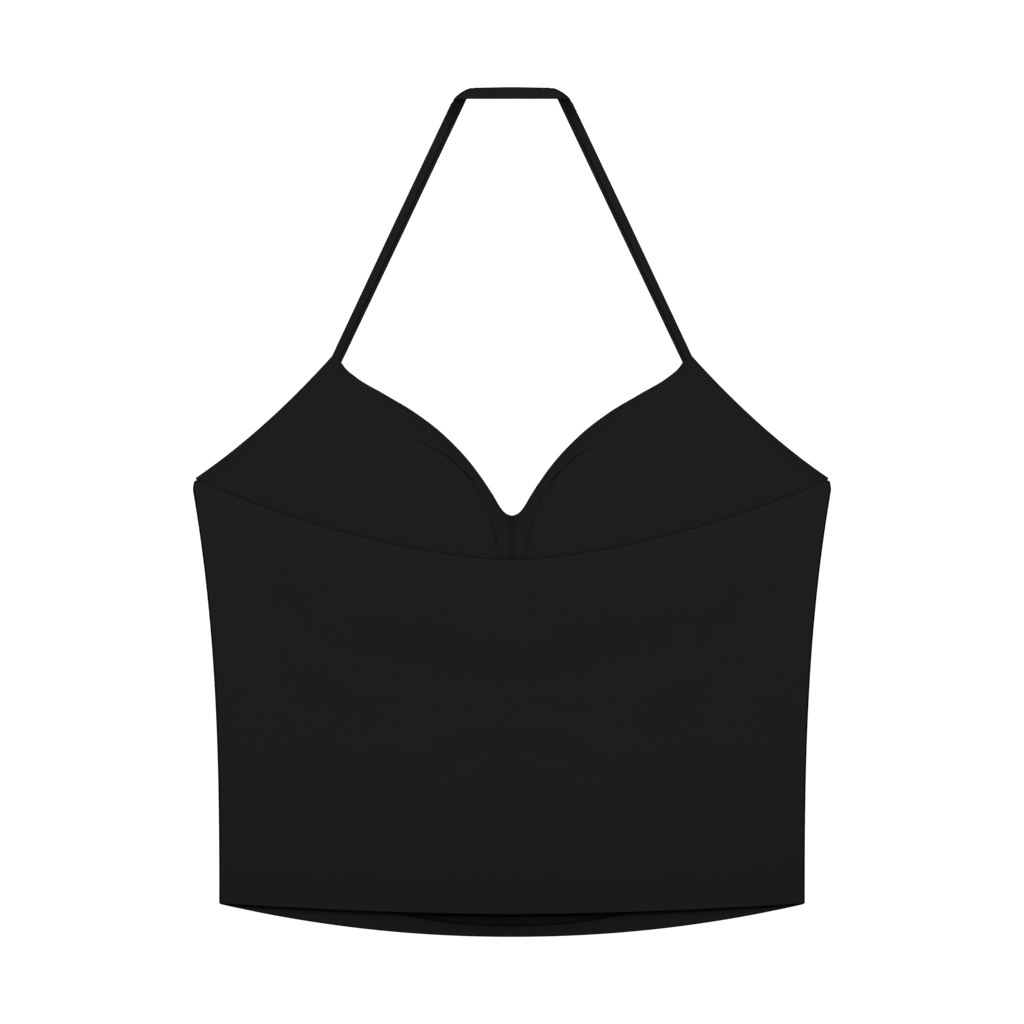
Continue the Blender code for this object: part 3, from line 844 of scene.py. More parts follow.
# %% Front body
FRONT_SIDE_INSET = 1.3
FRONT_COLUMNS = np.linspace(-1, 1, 181)
FRONT_SHARES = even_runs((0, 0.16, 1), (24, 46))  # rows are closer near the hem
BAND_FROM_HEM = (
    # across, from the hem's fold to the band of cover stitching, as seen from above: the hem
    # curls in the middle, so that there the band lies nearer to the fold
    (0, 6.2), (25, 6.6), (35, 7.1), (45, 8.1), (60, 9.5), (70, 10.9), (85, 13.2), (185, 14.4),
)
BAND_WIDTH = 5.4
HEM_CURL = 1.5
CURL_HALF_WIDTH = 200.0
BAND_GROOVES = (
    # above the band's lower side, depth
    (0, 0.6), (3.9, 0.4),
)
GROOVE_STEP = 0.3  # the groove's steep side
GROOVE_SLOPE = 0.9  # and where its gentle side ends
FIRST_NEEDLE_ROW = 0.6  # above the band's lower side
RIPPLES = (
    # height, wave length divided by 2 pi, phase
    (0.16, 23, 0.6), (0.1, 9.1, 0),
)
RIPPLED = 30.0  # from the hem up, where the ripples fade out
NO_SEAM = 400.0  # a place on the seam map that is far from any needle row


def front_fold_line(across):
    return front_hem(across) + EDGE_INSET


def front_band(across):
    """The lower side of the band of stitching."""
    return front_hem(across) + smooth_through(BAND_FROM_HEM, np.abs(across))


def front_raw_edge(across):
    return front_band(across) + BAND_WIDTH


def front_height(across, up):
    """The front lies flat, and its hem lifts a little off the surface here and there."""
    near_hem = 1 - ramp(up - front_hem(across), 0.0, RIPPLED)
    ripple = sum(height * np.sin(across / length + start) for height, length, start in RIPPLES)
    return FRONT_MIDDLE + near_hem * np.maximum(ripple, 0.0)


def turn_up_height(across, up):
    """The turned-up layer rises from the fold to the stitching, which pulls two grooves."""
    share = (up - front_hem(across)) / (front_band(across) - front_hem(across))
    curl = HEM_CURL * hill(across, 0.0, CURL_HALF_WIDTH) * np.clip(share, 0, 1) ** 2
    above = up - front_band(across)
    groove = 0 * above
    for place, depth in BAND_GROOVES:
        bottom = place + GROOVE_STEP
        steep = ramp(above, place, bottom)
        groove = groove + depth * steep * (1 - ramp(above, bottom, place + GROOVE_SLOPE))
    return front_height(across, up) + 2 * FOLD_RADIUS + curl - groove


def front_rows(low_edge, high_edge, shares):
    return between_sides(FRONT_COLUMNS, low_edge, high_edge, shares, FRONT_SIDE_INSET)


def make_front_body():
    """The turn-up from its raw edge down to the fold, the fold, and up to the bust seam."""
    over_band = front_rows(front_band, front_raw_edge, np.linspace(1, 0, 31))
    to_fold = front_rows(front_fold_line, front_band, np.linspace(1, 0, 16)[1:])
    across, up = (np.concatenate(both) for both in zip(over_band, to_fold))
    turn_up = grid_of(across, up, turn_up_height(across, up))
    turn_up_grain = grid_of(across, 2 * front_hem(across) - up)
    turn_up_seam = grid_of(across, up - front_band(across) - FIRST_NEEDLE_ROW)

    across, up = front_rows(front_fold_line, bust_seam, FRONT_SHARES)
    body = grid_of(across, up, front_height(across, up))
    body_seam = grid_of(across, up - front_band(across) - FIRST_NEEDLE_ROW)

    edge = body[0] + (0, 0, 2 * FOLD_RADIUS)
    outward = -unit(body[1] - body[0]) * (1, 1, 0)
    fold = fold_rows(edge, np.array([0.0, 0.0, 1.0]), outward, FOLD_ANGLES)
    fold_grain = np.repeat(grid_of(across[:1], front_hem(across[:1])), len(fold), axis=0)
    middle = np.concatenate([turn_up, fold, body])
    grain = np.concatenate([turn_up_grain, fold_grain, grid_of(across, up)])
    seam = np.concatenate([turn_up_seam, fold_grain + (0, NO_SEAM), body_seam])
    return middle, grain, seam


front_piece = add_cloth("front_body_cloth", *make_front_body(), inside_jersey)
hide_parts("front_body")

# %% [markdown]
# ## Cups
#
# Each cup is two sheets: the jersey that faces out, against the surface, and the lining over the
# pad.  Both curl towards each other along the neckline and the armhole, where they are sewn
# together and turned, and two rows of stitching hold the seam allowances flat just inside.
#
# A cup's grid has one column for each step along that upper edge, running down to the bust seam.
# Close to the edge its rows are half a millimetre apart, because the roll and the raised margin
# need them.

# %% Cup grid
LIP_RADIUS = 0.6  # of the lining's roll at the edge
FRONT_LIP_RADIUS = 0.35
CUP_SIDE_INSET = 1.3
SEAM_ALLOWANCE_GAP = 0.5
UPRIGHT_WITHIN = 3.0  # at the middle seam the roll faces straight up the garment
NEAR_EDGE = np.array([0, 0.4, *np.arange(0.8, 6.0, 0.5), 6.4, 7.1, 8, 9])


def cup_grid(column_step, rows, inset):
    """Points of a right-hand cup from the bust seam up to a line inside its upper edge.

    A column joins a place on the bust seam to a place on that line.  Its first rows are shares of
    the way up, and its last ones lie at fixed distances from the line.
    """
    count = int(edge_places[-1] / column_step) + 1
    places = np.linspace(0.0, edge_places[-1], count)
    edge, out = (read_off(places, edge_places, known) for known in (edge_line, edge_outward))
    out[:, 0] *= ramp(edge[:, 0], 0.0, UPRIGHT_WITHIN)
    high = edge - unit(out) * inset
    reached = ramp(edge[:, 0], STRAP_END_OUTER[0], CORNER_ACROSS)
    seam_half_width = half_width(bust_seam(CORNER_ACROSS)) - CUP_SIDE_INSET
    low_across = edge[:, 0] - (CORNER_ACROSS - seam_half_width) * reached
    low = grid_of(low_across, bust_seam(low_across) + SEAM_ALLOWANCE_GAP)
    length = np.linalg.norm(high - low, axis=1)
    downward = (low - high) / length[:, None]
    upper_rows = (high + downward * NEAR_EDGE[:, None, None])[::-1]
    shares = np.linspace(0, 1, rows, endpoint=False)[:, None, None]
    lower_rows = low + (upper_rows[0] - low) * shares
    return np.concatenate([lower_rows, upper_rows]), unit(out), places


def roll_rows(edge, out, heights, radius, turn, end_height):
    """Rows that roll over the edge by a quarter circle and run straight on to their end.

    Turn is -1 for a roll downwards and 1 for one upwards.
    """
    angles = QUARTER_TURN[:, None]
    flat = edge + out * (radius * np.sin(angles))[..., None]
    height = heights + turn * radius * (1 - np.cos(angles))
    rolled = np.concatenate([flat, height[..., None]], -1)
    last = rolled[-1:].copy()
    last[..., 2] = end_height
    return np.concatenate([rolled, last])


# %% Lining heights
MARGIN_WIDTH = 5.2
MARGIN = (
    # place along the edge, how much the seam allowances lift the lining, width of the slope down
    (0, 0.6, 2.2), (14, 0.7, 1.8), (25, 0.9, 1), (50, 0.6, 1.3), (90, 0.45, 2), (148, 0.3, 3.5),
    (270, 0.3, 3),
)
EDGE_PRESS = 0.7  # the back's edge beds into the linings
EDGE_PRESS_LENGTH = 3.2  # of the back's slope down to its edge
EDGE_PRESS_ENDS = (-1.8, 0.3)  # from the back's edge: there the lining comes up beyond it
UNDER_BACK = (-20.0, -8.0)  # and there it comes up again under the back
WIDE_PRESS = 2.2
WIDE_PRESS_PLACE = 157.0  # beyond the pads the dip in the lining starts before the edge
WIDE_PRESS_LENGTH = 16.0
STRAP_BULGE = 0.75  # the strap's end is sewn in between the layers
STRAP_BULGE_WIDTH = 6.0
STRAP_BULGE_REACH = 9.0  # inwards
LIFT_STARTS = (2.0, 7.0)  # inside the edge, where the lift over the pad comes in
MIDDLE_SEAM_WIDTH = 2.2
MIDDLE_SEAM_DEPTH = 0.45
MIDDLE_RIDGE = 0.35
MIDDLE_RIDGE_WIDTH = 5.0
DENT_CENTRE = (90.5, 268.0)
DENTS = (
    # reach of the ring across, height, half width
    (0, -0.6, 17), (33, 0.14, 4.5), (47, -0.16, 4.5),
)
DENT_FLATNESS = 0.45  # the rings' height as a share of their reach across
RINGS_FADE = (-25.0, 5.0)  # below the centre they fade out
MARGIN_CREASE = 0.08  # how softly the margin meets the lift over the pad


def pressed_rings(across, up):
    """Faint flattened rings where the pad's crown is pressed in."""
    right = np.abs(across) - DENT_CENTRE[0]
    above = (up - DENT_CENTRE[1]) / DENT_FLATNESS
    away = np.hypot(right, above)
    upper = ramp(above, *RINGS_FADE)
    return sum(height * upper * hill(away, reach, width) for reach, height, width in DENTS)


def edge_bed(across, up):
    """How deep the back's edge is bedded in: by a square of the share of its slope."""
    share = np.clip(1 + (up - back_top(across)) / EDGE_PRESS_LENGTH, 0, 1.1)
    return EDGE_PRESS * share**2


def lining_dip(across, up):
    """Under the back's edge the lining gives way, and under the back it comes up again."""
    from_edge = up - back_top(across)
    low, high = EDGE_PRESS_ENDS
    high = high + WIDE_PRESS * hill(np.abs(across), WIDE_PRESS_PLACE, WIDE_PRESS_LENGTH)
    return EDGE_PRESS * (1 - ramp(from_edge, low, high)) * ramp(from_edge, *UNDER_BACK)


def lining_height(across, up):
    """Middle of the lining: its level, the lift over the pad, the margin, strap and seam."""
    inset, place = edge_distance(across, up)
    margin_places, margin_rise, margin_slope = np.array(MARGIN).T
    rise, slope = (np.interp(place, margin_places, v) for v in (margin_rise, margin_slope))
    margin = rise * (1 - ramp(inset, MARGIN_WIDTH, MARGIN_WIDTH + slope))
    strap = STRAP_BULGE * hill(place, strap_place, STRAP_BULGE_WIDTH)
    strap = strap * hill(inset, 0, STRAP_BULGE_REACH)
    ridge = MIDDLE_RIDGE * hill(across, 0.0, MIDDLE_RIDGE_WIDTH)
    groove = MIDDLE_SEAM_DEPTH * hill(across, 0.0, MIDDLE_SEAM_WIDTH)
    raised = higher_of(lining_lift(across, up) * ramp(inset, *LIFT_STARTS), margin, MARGIN_CREASE)
    rings = pressed_rings(across, up)
    return LINING_LEVEL + raised + strap + ridge - groove - lining_dip(across, up) + rings


# %% Linings and outer cups
LINING_GRID = (1.25, 78)  # step along the edge, number of rows up to the closer ones
FRONT_GRID = (2.2, 30)
LINING_LIP_END = 1.3  # height
FRONT_LIP_END = 0.95
CUP_NEEDLE_ROW = 2.25  # from the finished edge to its first needle row


def mirrored(grid):
    """The same grid on the garment's left side, with its columns still running left to right."""
    return (grid * (-1, 1, 1))[:, ::-1]


def cup_sheet(grid, inset, height, lip):
    """A cup's middle surface with its rolled lip, and its seam map."""
    flat, out, places = cup_grid(*grid, inset)
    level = height(flat[..., 0], flat[..., 1])
    body = np.concatenate([flat, level[..., None]], -1)
    rolled = roll_rows(flat[-1], out, level[-1], *lip(places))
    middle = np.concatenate([body, rolled])
    inset_from_edge, place = edge_distance(flat[..., 0], flat[..., 1])
    rolled_inset = np.repeat(inset_from_edge[-1:] - inset, len(rolled), axis=0)
    rolled_place = np.repeat(place[-1:], len(rolled), axis=0)
    seam_inset = np.concatenate([inset_from_edge, rolled_inset])
    seam = grid_of(np.concatenate([place, rolled_place]), seam_inset - CUP_NEEDLE_ROW)
    return middle, seam


def lining_lip(places):
    raised = STRAP_BULGE * hill(places, strap_place, STRAP_BULGE_WIDTH)
    return LIP_RADIUS, -1, LINING_LIP_END + raised


def front_lip(places):
    return FRONT_LIP_RADIUS, 1, FRONT_LIP_END + 0 * places


def cup_front_height(across, up):
    return FRONT_MIDDLE + 0 * across


lining = cup_sheet(LINING_GRID, LIP_RADIUS + LAYER / 2, lining_height, lining_lip)
outer = cup_sheet(FRONT_GRID, FRONT_LIP_RADIUS + LAYER / 2, cup_front_height, front_lip)
for word in ("right", "left"):
    for name, (middle, seam), material, slot in (
        (f"cup_lining_{word}", lining, lining_jersey, "lining"),
        (f"cup_front_{word}", outer, cup_jersey, "jersey"),
    ):
        if word == "left":
            middle, seam = mirrored(middle), seam[:, ::-1]
        piece = add_cloth(f"{name}_cloth", middle, middle[..., :2], seam, material)
        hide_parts(name)

# %% [markdown]
# ## Back panel
#
# The back is one piece.  It lies over the linings and the front, so its height is the higher of
# two surfaces: the level that the stretched cloth keeps, and what lies under it.  The sides turn
# down round the fronts, the top edge is folded under, and the hem is turned up inside.
#
# Soft folds are listed in a table.  Each follows a gentle arc and fades out at both ends.

# %% Folds in the back
FOLDS = (
    # from across, from up, to across, to up, bow, half width, height
    (-196, 262, -112, 176, 7, 13, -0.95), (-112, 178, -10, 168, -3, 14, -0.55),
    (-124, 236, -38, 207, 5, 6, -0.6), (-128, 220, -44, 192, 6, 9, 0.5),
    (-3, 231, -34, 198, -2, 6, 0.45), (-34, 226, -4, 184, 2, 6, -0.3),
    (-184, 226, -160, 176, 2, 10, 0.55), (-160, 180, -96, 134, 6, 13, -0.5),
    (-150, 196, -88, 156, 6, 11, 0.35), (-170, 120, -120, 96, 3, 12, 0.3),
    (-68, 106, 2, 131, -8, 7, 0.4), (-52, 96, 2, 115, -6, 7, -0.3), (-84, 84, 2, 56, 10, 7, -0.35),
    (-132, 58, -30, 48, 3, 6, -0.35), (-110, 108, -60, 112, -3, 8, 0.3),
)
FOLD_SAMPLES = 28


def folds(across, up):
    """Sum of the table's folds, the same on both sides of the middle.

    A fold's height is a hill of the distance to its arc, and the arc's ends fade out by a sine.
    """
    here = grid_of(-np.abs(across), up)
    total = np.zeros(here.shape[:-1])
    t = np.linspace(0, 1, FOLD_SAMPLES)
    for from_across, from_up, to_across, to_up, bow, width, height in FOLDS:
        start, end = np.array([from_across, from_up]), np.array([to_across, to_up])
        sideways = left_of(unit(end - start))
        bowed = 4 * bow * t * (1 - t)
        arc = start + (end - start) * t[:, None] - sideways * bowed[:, None]
        away = np.linalg.norm(here[..., None, :] - arc, axis=-1)
        near = away.argmin(-1)
        fade = np.sin(math.pi * np.clip(t[near], 0.02, 0.98)) ** 0.7
        total += height * fade * hill(away.min(-1), 0.0, width)
    return total


# %% Height of the back
BACK_LEVEL = 1.95
OVER_LININGS = 1.2
DROP_LINE = (
    # across, up of the middle of the step down from the linings to the front
    (0, 172), (50, 170), (90, 173), (115, 184), (138, 206), (165, 228), (198, 258),
)
DROP_HALF_WIDTH = 16.0
BACK_LIFT = (
    # share of the way to a pad's outline, height
    (0, 2.6), (0.5, 2.8), (0.9, 3.1), (1, 2.8), (1.2, 1.7), (1.5, 0.5), (1.8, 0),
)
HEM_STACK = 2.0  # the two hems' turned-up layers, under the back
HEM_LIFT = 1.2
HEM_BUCKLE = 1.6  # on both sides of the middle the hem stands up from the front
HEM_BUCKLE_ACROSS = 54.0
HEM_BUCKLE_WIDTH = 26.0
HEM_SLOPE = (30.0, 130.0)
HEM_LIP = 0.5  # on both sides of the middle the outer layer stands up at the fold
HEM_LIP_PLACE = (0.4, 1.9)  # from the hem
HEM_LIP_ACROSS = 100.0
HEM_LIP_WIDTH = 52.0
HEM_DROOP = 0.9  # the back curves down towards its hem
HEM_DROOP_LENGTH = 25.0
TOUCH = 0.12  # air between two layers that lie on each other
LAYER_CREASE = 0.12  # how softly the stretched cloth comes to lie on what is beneath it
UNDER_EDGE = 7.0  # how far the top edge is turned under
EDGE_SLOPE = 7.0  # over which the back rises to the two layers of that edge
STEP_LENGTH = 14.0  # of the slope down from the linings' lower edge to the front
STEP_TOP = 0.5  # that slope starts this far below the bust seam
LINING_FROM = 1.0  # and the linings' height is read off this far above it


def back_height(across, up):
    """Middle of the back panel's thickness."""
    drop = smooth_through(DROP_LINE, np.abs(across))
    on_lining = OVER_LININGS * ramp(up, drop - DROP_HALF_WIDTH, drop + DROP_HALF_WIDTH)
    near = smooth_through(BACK_LIFT, pad_place(np.abs(across), up)[1])
    far = smooth_through(BACK_LIFT, pad_place(-np.abs(across), up)[1])
    over_pads = np.cbrt(near**3 + far**3)
    middle = np.maximum(1 - (across / HEM_HALF_WIDTH) ** 2, 0.0)
    buckle = HEM_BUCKLE * hill(np.abs(across), HEM_BUCKLE_ACROSS, HEM_BUCKLE_WIDTH)
    hem_rise = HEM_STACK + HEM_LIFT * middle + buckle
    from_hem = up - back_hem(across)
    droop = HEM_DROOP * (1 - np.exp(-np.maximum(from_hem, 0) / HEM_DROOP_LENGTH))
    at_hem = (hem_rise + droop) * (1 - ramp(from_hem, *HEM_SLOPE))
    lip = HEM_LIP * hill(np.abs(across), HEM_LIP_ACROSS, HEM_LIP_WIDTH)
    at_hem = at_hem + lip * (1 - ramp(from_hem, *HEM_LIP_PLACE))
    stretched = BACK_LEVEL + on_lining + over_pads + at_hem + folds(across, up)
    from_top = up - back_top(across)
    edge_layers = ramp(from_top, -UNDER_EDGE - EDGE_SLOPE, -UNDER_EDGE) * 2 * FOLD_RADIUS
    seam = bust_seam(across)
    low = np.maximum(up, seam + LINING_FROM)
    over_lining = lining_height(across, low) + lining_dip(across, low) - FRONT_MIDDLE
    beneath = FRONT_MIDDLE + over_lining * ramp(up, seam - STEP_LENGTH, seam - STEP_TOP)
    lying = beneath + LAYER + TOUCH + edge_layers
    return higher_of(stretched, lying, LAYER_CREASE) - edge_bed(across, up)


# %% Back panel
SIDE_ROLL = 1.6  # of the middle surface, where the sides turn down
SIDE_LOWEST = 0.4  # of the roll's middle surface
SIDE_END = 0.35  # and of its last row
BACK_COLUMNS = np.linspace(-1, 1, 187)
BACK_SHARES = even_runs((0, 0.14, 0.93, 1), (30, 84, 22))  # rows are closest near both edges
BACK_INSET = SIDE_ROLL + LAYER / 2
UPPER_NEEDLE_ROW = 32.65
LOWER_NEEDLE_ROW = 29.25
NEEDLE_ROW_DIP = 0.5
RAW_EDGE_OVER = 0.8  # from the upper needle row to the turn-up's raw edge


def needle_line(across, up_at_side):
    """The hem's needle rows run nearly straight: they dip by a square of the distance."""
    return up_at_side - NEEDLE_ROW_DIP * (1 - (across / HEM_HALF_WIDTH) ** 2)


def back_fold_line(across):
    return back_hem(across) + EDGE_INSET


def back_raw_edge(across):
    return needle_line(across, UPPER_NEEDLE_ROW) + RAW_EDGE_OVER


def back_upper_line(across):
    return back_top(across) - EDGE_INSET


def back_under_line(across):
    return back_top(across) - UNDER_EDGE


def back_rows(low_edge, high_edge, shares):
    """Middle surface between two edges, with its turned-down sides."""
    across, up = between_sides(BACK_COLUMNS, low_edge, high_edge, shares, BACK_INSET)
    grid = grid_of(across, up, back_height(across, up))
    sides = []
    for end in (0, -1):
        edge = grid[:, end, None]
        out = np.sign(BACK_COLUMNS[end]) * SIDE_ROLL * np.sin(QUARTER_TURN)
        down = SIDE_ROLL * (1 - np.cos(QUARTER_TURN))
        rolled = edge + grid_of(out, 0.0, -down)
        rolled[..., 2] = np.maximum(rolled[..., 2], SIDE_LOWEST)
        last = rolled[:, -1:] * (1, 1, 0) + (0, 0, SIDE_END)
        sides.append(np.concatenate([rolled, last], axis=1))
    return np.concatenate([sides[0][:, ::-1], grid, sides[1]], axis=1)


def make_back():
    """The sheet from the raw edge of its hem, over the outside, to the edge turned under on top."""
    outside = back_rows(back_fold_line, back_upper_line, BACK_SHARES)
    normals = grid_normals(outside)
    hem_inside = back_rows(back_fold_line, back_raw_edge, np.linspace(1, 0, 9))
    hem_inside += 2 * FOLD_RADIUS * grid_normals(hem_inside)
    top_inside = back_rows(back_upper_line, back_under_line, np.linspace(0, 1, 7))
    top_inside += 2 * FOLD_RADIUS * grid_normals(top_inside)
    hem_fold = fold_rows(outside[0], normals[0], -unit(outside[1] - outside[0]), FOLD_ANGLES[::-1])
    top_fold = fold_rows(outside[-1], normals[-1], unit(outside[-1] - outside[-2]), FOLD_ANGLES)
    middle = np.concatenate([hem_inside, hem_fold, outside, top_fold, top_inside])
    grain = middle[..., :2].copy()
    grain[: len(hem_inside), :, 1] = 2 * back_hem(0) - grain[: len(hem_inside), :, 1]
    above_row = middle[..., 1] - needle_line(middle[..., 0], LOWER_NEEDLE_ROW)
    seam = grid_of(middle[..., 0], above_row)
    return middle, grain, seam


back_piece = add_cloth("back_panel_cloth", *make_back(), jersey)
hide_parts("back_panel")

# %% [markdown]
# ## Strap
#
# The strap is a strip sewn into a narrow tube, turned and pressed flat, with its seam along one
# face.  It lies on the surface, folds over at each upper corner, and comes down behind the neck
# with its other face up.  A flattened ring of points is carried along that path: at each station
# the path gives the ring's middle, its width direction and its upward direction.

# %% Strap sizes
STRAP_HALF_WIDTH = 3.8
NECK_HALF_WIDTH = 3.53
WIDTH_CHANGE = 3.0  # to each side of the corner, where one width goes over into the other
NECK_SWELL = 0.18  # the run behind the neck is a little wider in its middle
SWELL_STARTS = (6.0, 30.0)  # beyond the corner
NECK_CORNER = (30.6, 523.1)  # where the middle lines of the two runs cross
STRAP_HALF_THICKNESS = 0.85
ROLL_RADIUS = 1.5  # of the tube's middle, where it rolls over at an upper corner
ROLL_SET_BACK = 1.3  # the roll's axis lies this far inside the crossing
CORNER_ROUND = 1.15  # how much the two ends of the fold are drawn in
CORNER_ROUND_MOST = 1.3  # times that, beyond the ends
CORNER_HALF_LENGTH = 7.0  # half of the fold's length, which runs slantwise over the strap
FOLD_RISE = 9.0  # the falling run rises towards the fold, as a springy tube does
FOLD_RISE_PLACE = (-15.0, 9.0)  # square to the fold; the rise stops at the fold, at 0
CUP_HALF_WIDTH = 3.55  # the strap is a little narrower where it is sewn to the cup
TAPER_LENGTH = 85.0
TAPER_SHIFT = 0.4  # share of the taper by which the strap's middle moves sideways
NEAR_CUP = 8.0  # length with the rings closest together
FOLD_REACH = 11.0  # the fold's part of the strap, to each side of the corner
SEWN_IN = 5.0  # length of strap between the cup's layers
SEWN_SLOPE = 7.0  # beyond the cup's edge, until the strap has its full thickness
SEWN_MIDDLE = 1.42
SEWN_HALF_THICKNESS = 0.42
NECK_SAG = 8.2  # the run behind the neck sags between its two folds
NECK_SAG_FROM = 30.0
STRAP_WALL = 0.6 * SEWN_HALF_THICKNESS
TUBE_SEAM = 0.42  # place of the tube's seam, as a share of the half width
TUBE_SEAM_WIDTH = 0.055
TUBE_SEAM_DEPTH = 0.8  # share of the half thickness
FLAT_SHARE = 0.78  # the pressed tube is flat up to here, and round beyond

strap_start = np.array([-strap_end_middle[0], strap_end_middle[1], 0.0])
strap_corner = np.array([-NECK_CORNER[0], NECK_CORNER[1], 0.0])
run_length = np.linalg.norm(strap_corner - strap_start)
rising = (strap_corner - strap_start) / run_length
UP = np.array([0.0, 0.0, 1.0])
LEVEL = np.array([1.0, 0.0, 0.0])
fold_along = unit(rising + LEVEL)
fold_outward = np.cross(UP, fold_along)
roll_axis = strap_corner - fold_outward * ROLL_SET_BACK


def strap_ring():
    """Shares of the half width and the half thickness round a pressed tube, clockwise.

    Both faces are flat and the two ends are half circles; the seam is a groove in the first face.
    """
    seam = TUBE_SEAM + TUBE_SEAM_WIDTH * np.array([-1.6, -0.8, 0.0, 0.8, 1.6])
    upper = np.concatenate([np.linspace(-FLAT_SHARE, 0.28, 12), seam, [0.56, 0.67, FLAT_SHARE]])
    groove = 1 - TUBE_SEAM_DEPTH * hill(upper, TUBE_SEAM, TUBE_SEAM_WIDTH)
    turn = np.radians(np.linspace(90, -90, 9)[1:-1])
    end = grid_of(FLAT_SHARE + (1 - FLAT_SHARE) * np.cos(turn), np.sin(turn))
    lower = np.linspace(FLAT_SHARE, -FLAT_SHARE, 12)
    return np.concatenate([grid_of(upper, groove), end, grid_of(lower, -1.0), -end])


# %% Strap path
def roll_over(flat, above):
    """Takes points of the straight strap to where the fold puts them.

    A point inside the roll's axis stays.  Beyond it, its distance from the axis becomes an angle
    round the roll, and past a half turn it lies on the upper layer, face down, going back inwards.
    """
    from_axis = flat - roll_axis
    beyond = from_axis @ fold_outward
    turn = math.pi * np.clip(beyond / (2 * ROLL_SET_BACK), 0, 1)[..., None]
    past = np.maximum(beyond - 2 * ROLL_SET_BACK, 0)[..., None]
    along = (from_axis @ fold_along)[..., None]
    drawn_in = CORNER_ROUND * np.minimum((along / CORNER_HALF_LENGTH) ** 2, CORNER_ROUND_MOST)
    out = np.minimum(beyond, 0)[..., None] + (ROLL_RADIUS - drawn_in) * np.sin(turn) - past
    risen = FOLD_RISE * ramp(np.minimum(beyond, 0), *FOLD_RISE_PLACE)[..., None]
    raised = ROLL_RADIUS * (1 - np.cos(turn)) + risen
    normal = UP * np.cos(turn) - fold_outward * np.sin(turn)
    placed = roll_axis + fold_along * along + fold_outward * out + UP * raised + normal * above
    sagging = 1 - ramp(np.abs(placed[..., :1]), 0.0, NECK_SAG_FROM)
    return placed - UP * NECK_SAG * sagging * (past > 0)


def strap_rings():
    """Rings of points along the left half of the strap, from inside the cup to the middle."""
    fold = (run_length - FOLD_REACH, run_length + FOLD_REACH)
    ends = (-SEWN_IN, NEAR_CUP, *fold, run_length + NECK_CORNER[0])
    place = even_runs(ends, (27, 86, 67, 20))[:, None]
    from_corner = place - run_length
    neck_share = ramp(from_corner, -WIDTH_CHANGE, WIDTH_CHANGE)
    swell = NECK_SWELL * ramp(from_corner, *SWELL_STARTS)
    taper = (STRAP_HALF_WIDTH - CUP_HALF_WIDTH) * (1 - np.clip(place / TAPER_LENGTH, 0, 1))
    half = STRAP_HALF_WIDTH + (NECK_HALF_WIDTH - STRAP_HALF_WIDTH) * neck_share + swell - taper
    sewn = 1 - ramp(place, 0.0, SEWN_SLOPE)
    thick = STRAP_HALF_THICKNESS + (SEWN_HALF_THICKNESS - STRAP_HALF_THICKNESS) * sewn
    rest = FRONT_REST + STRAP_HALF_THICKNESS
    low = rest + (SEWN_MIDDLE - rest) * sewn
    ring = strap_ring()
    square = np.cross(rising, UP)
    across = ring[:, 0] * half + (swell + TAPER_SHIFT * taper)
    flat = strap_start + rising * place[..., None] + square * across[..., None]
    rings = roll_over(flat, (ring[:, 1] * thick)[..., None]) + UP * low[..., None]
    return rings, place[:, 0]


# %% Strap tube
def make_strap():
    """Outer and inner rings at every station, so that the strap is a hollow tube of cloth."""
    left, place = strap_rings()
    rings = np.concatenate([left, left[-2::-1] * (-1, 1, 1)])
    length = np.concatenate([place, 2 * place[-1] - place[-2::-1]]) + SEWN_IN
    around = np.roll(rings, -1, axis=1) - np.roll(rings, 1, axis=1)
    outward = unit(np.cross(around, np.gradient(rings, axis=0)))
    inner = rings - outward * STRAP_WALL
    stations, size, _ = rings.shape
    outside = wrapped_faces(stations, size)
    inside = outside[:, ::-1] + stations * size
    here = np.arange(size)
    after = np.roll(here, -1)
    wall = np.stack([here, after, after + stations * size, here + stations * size], -1)
    last_wall = wall + (stations - 1) * size
    faces = np.concatenate([outside[:, ::-1], inside[:, ::-1], wall[:, ::-1], last_wall])
    steps = np.linalg.norm(np.roll(rings[0], -1, axis=0) - rings[0], axis=1)
    grain = grid_of(np.cumsum(steps)[None, :], length[:, None])
    grain = np.tile(grain.reshape(-1, 2), (2, 1))
    points = np.concatenate([rings.reshape(-1, 3), inner.reshape(-1, 3)])
    maps = {"grain": grain, "seam": np.full_like(grain, NO_SEAM)}
    return points, faces.tolist(), maps, length[-1]


strap_points, strap_faces, strap_maps, strap_length = make_strap()
strap_piece = add_piece("halter_strap_cloth", strap_points, strap_faces, strap_jersey, strap_maps)
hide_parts("halter_strap")
print("strap length, mm:", round(strap_length, 1))

# %% [markdown]
# ## Stitches
#
# Twin-needle rows hold the edges of the cups and the hems.  Each stitch is a short bar of thread
# that dips into the cloth at both ends.  One small bar is modelled, and numpy places a copy of
# all its points at every stitch, so thousands of stitches become one mesh.

# %% One stitch, many times
STITCH_SHAPE = (
    # share of the half length, height, share of the width
    (-1, -0.26, 0.55), (-0.55, -0.02, 1), (0, 0.05, 1), (0.55, -0.02, 1), (1, -0.26, 0.55),
)
STITCH_HALF_WIDTH = 0.24  # the thread is pressed flat
STITCH_HALF_HEIGHT = 0.12
STITCH_SHARE = 0.6  # of the pitch that a bar of thread covers
STITCH_SIDES = 6
AHEAD = 0.2  # from a stitch to the point on its line that gives its direction
ON_TOP = LAYER / 2  # from the cloth's middle to a stitch on its upper face
UNDERNEATH = 0.2 - LAYER / 2  # on the lower face a stitch is pressed in


def capped_faces(rows, sides):
    """Faces of a closed bar: its sides, and a flat cap at each end."""
    last = (rows - 1) * sides
    caps = [list(range(sides)), list(range(last, last + sides))[::-1]]
    return wrapped_faces(rows, sides).tolist() + caps


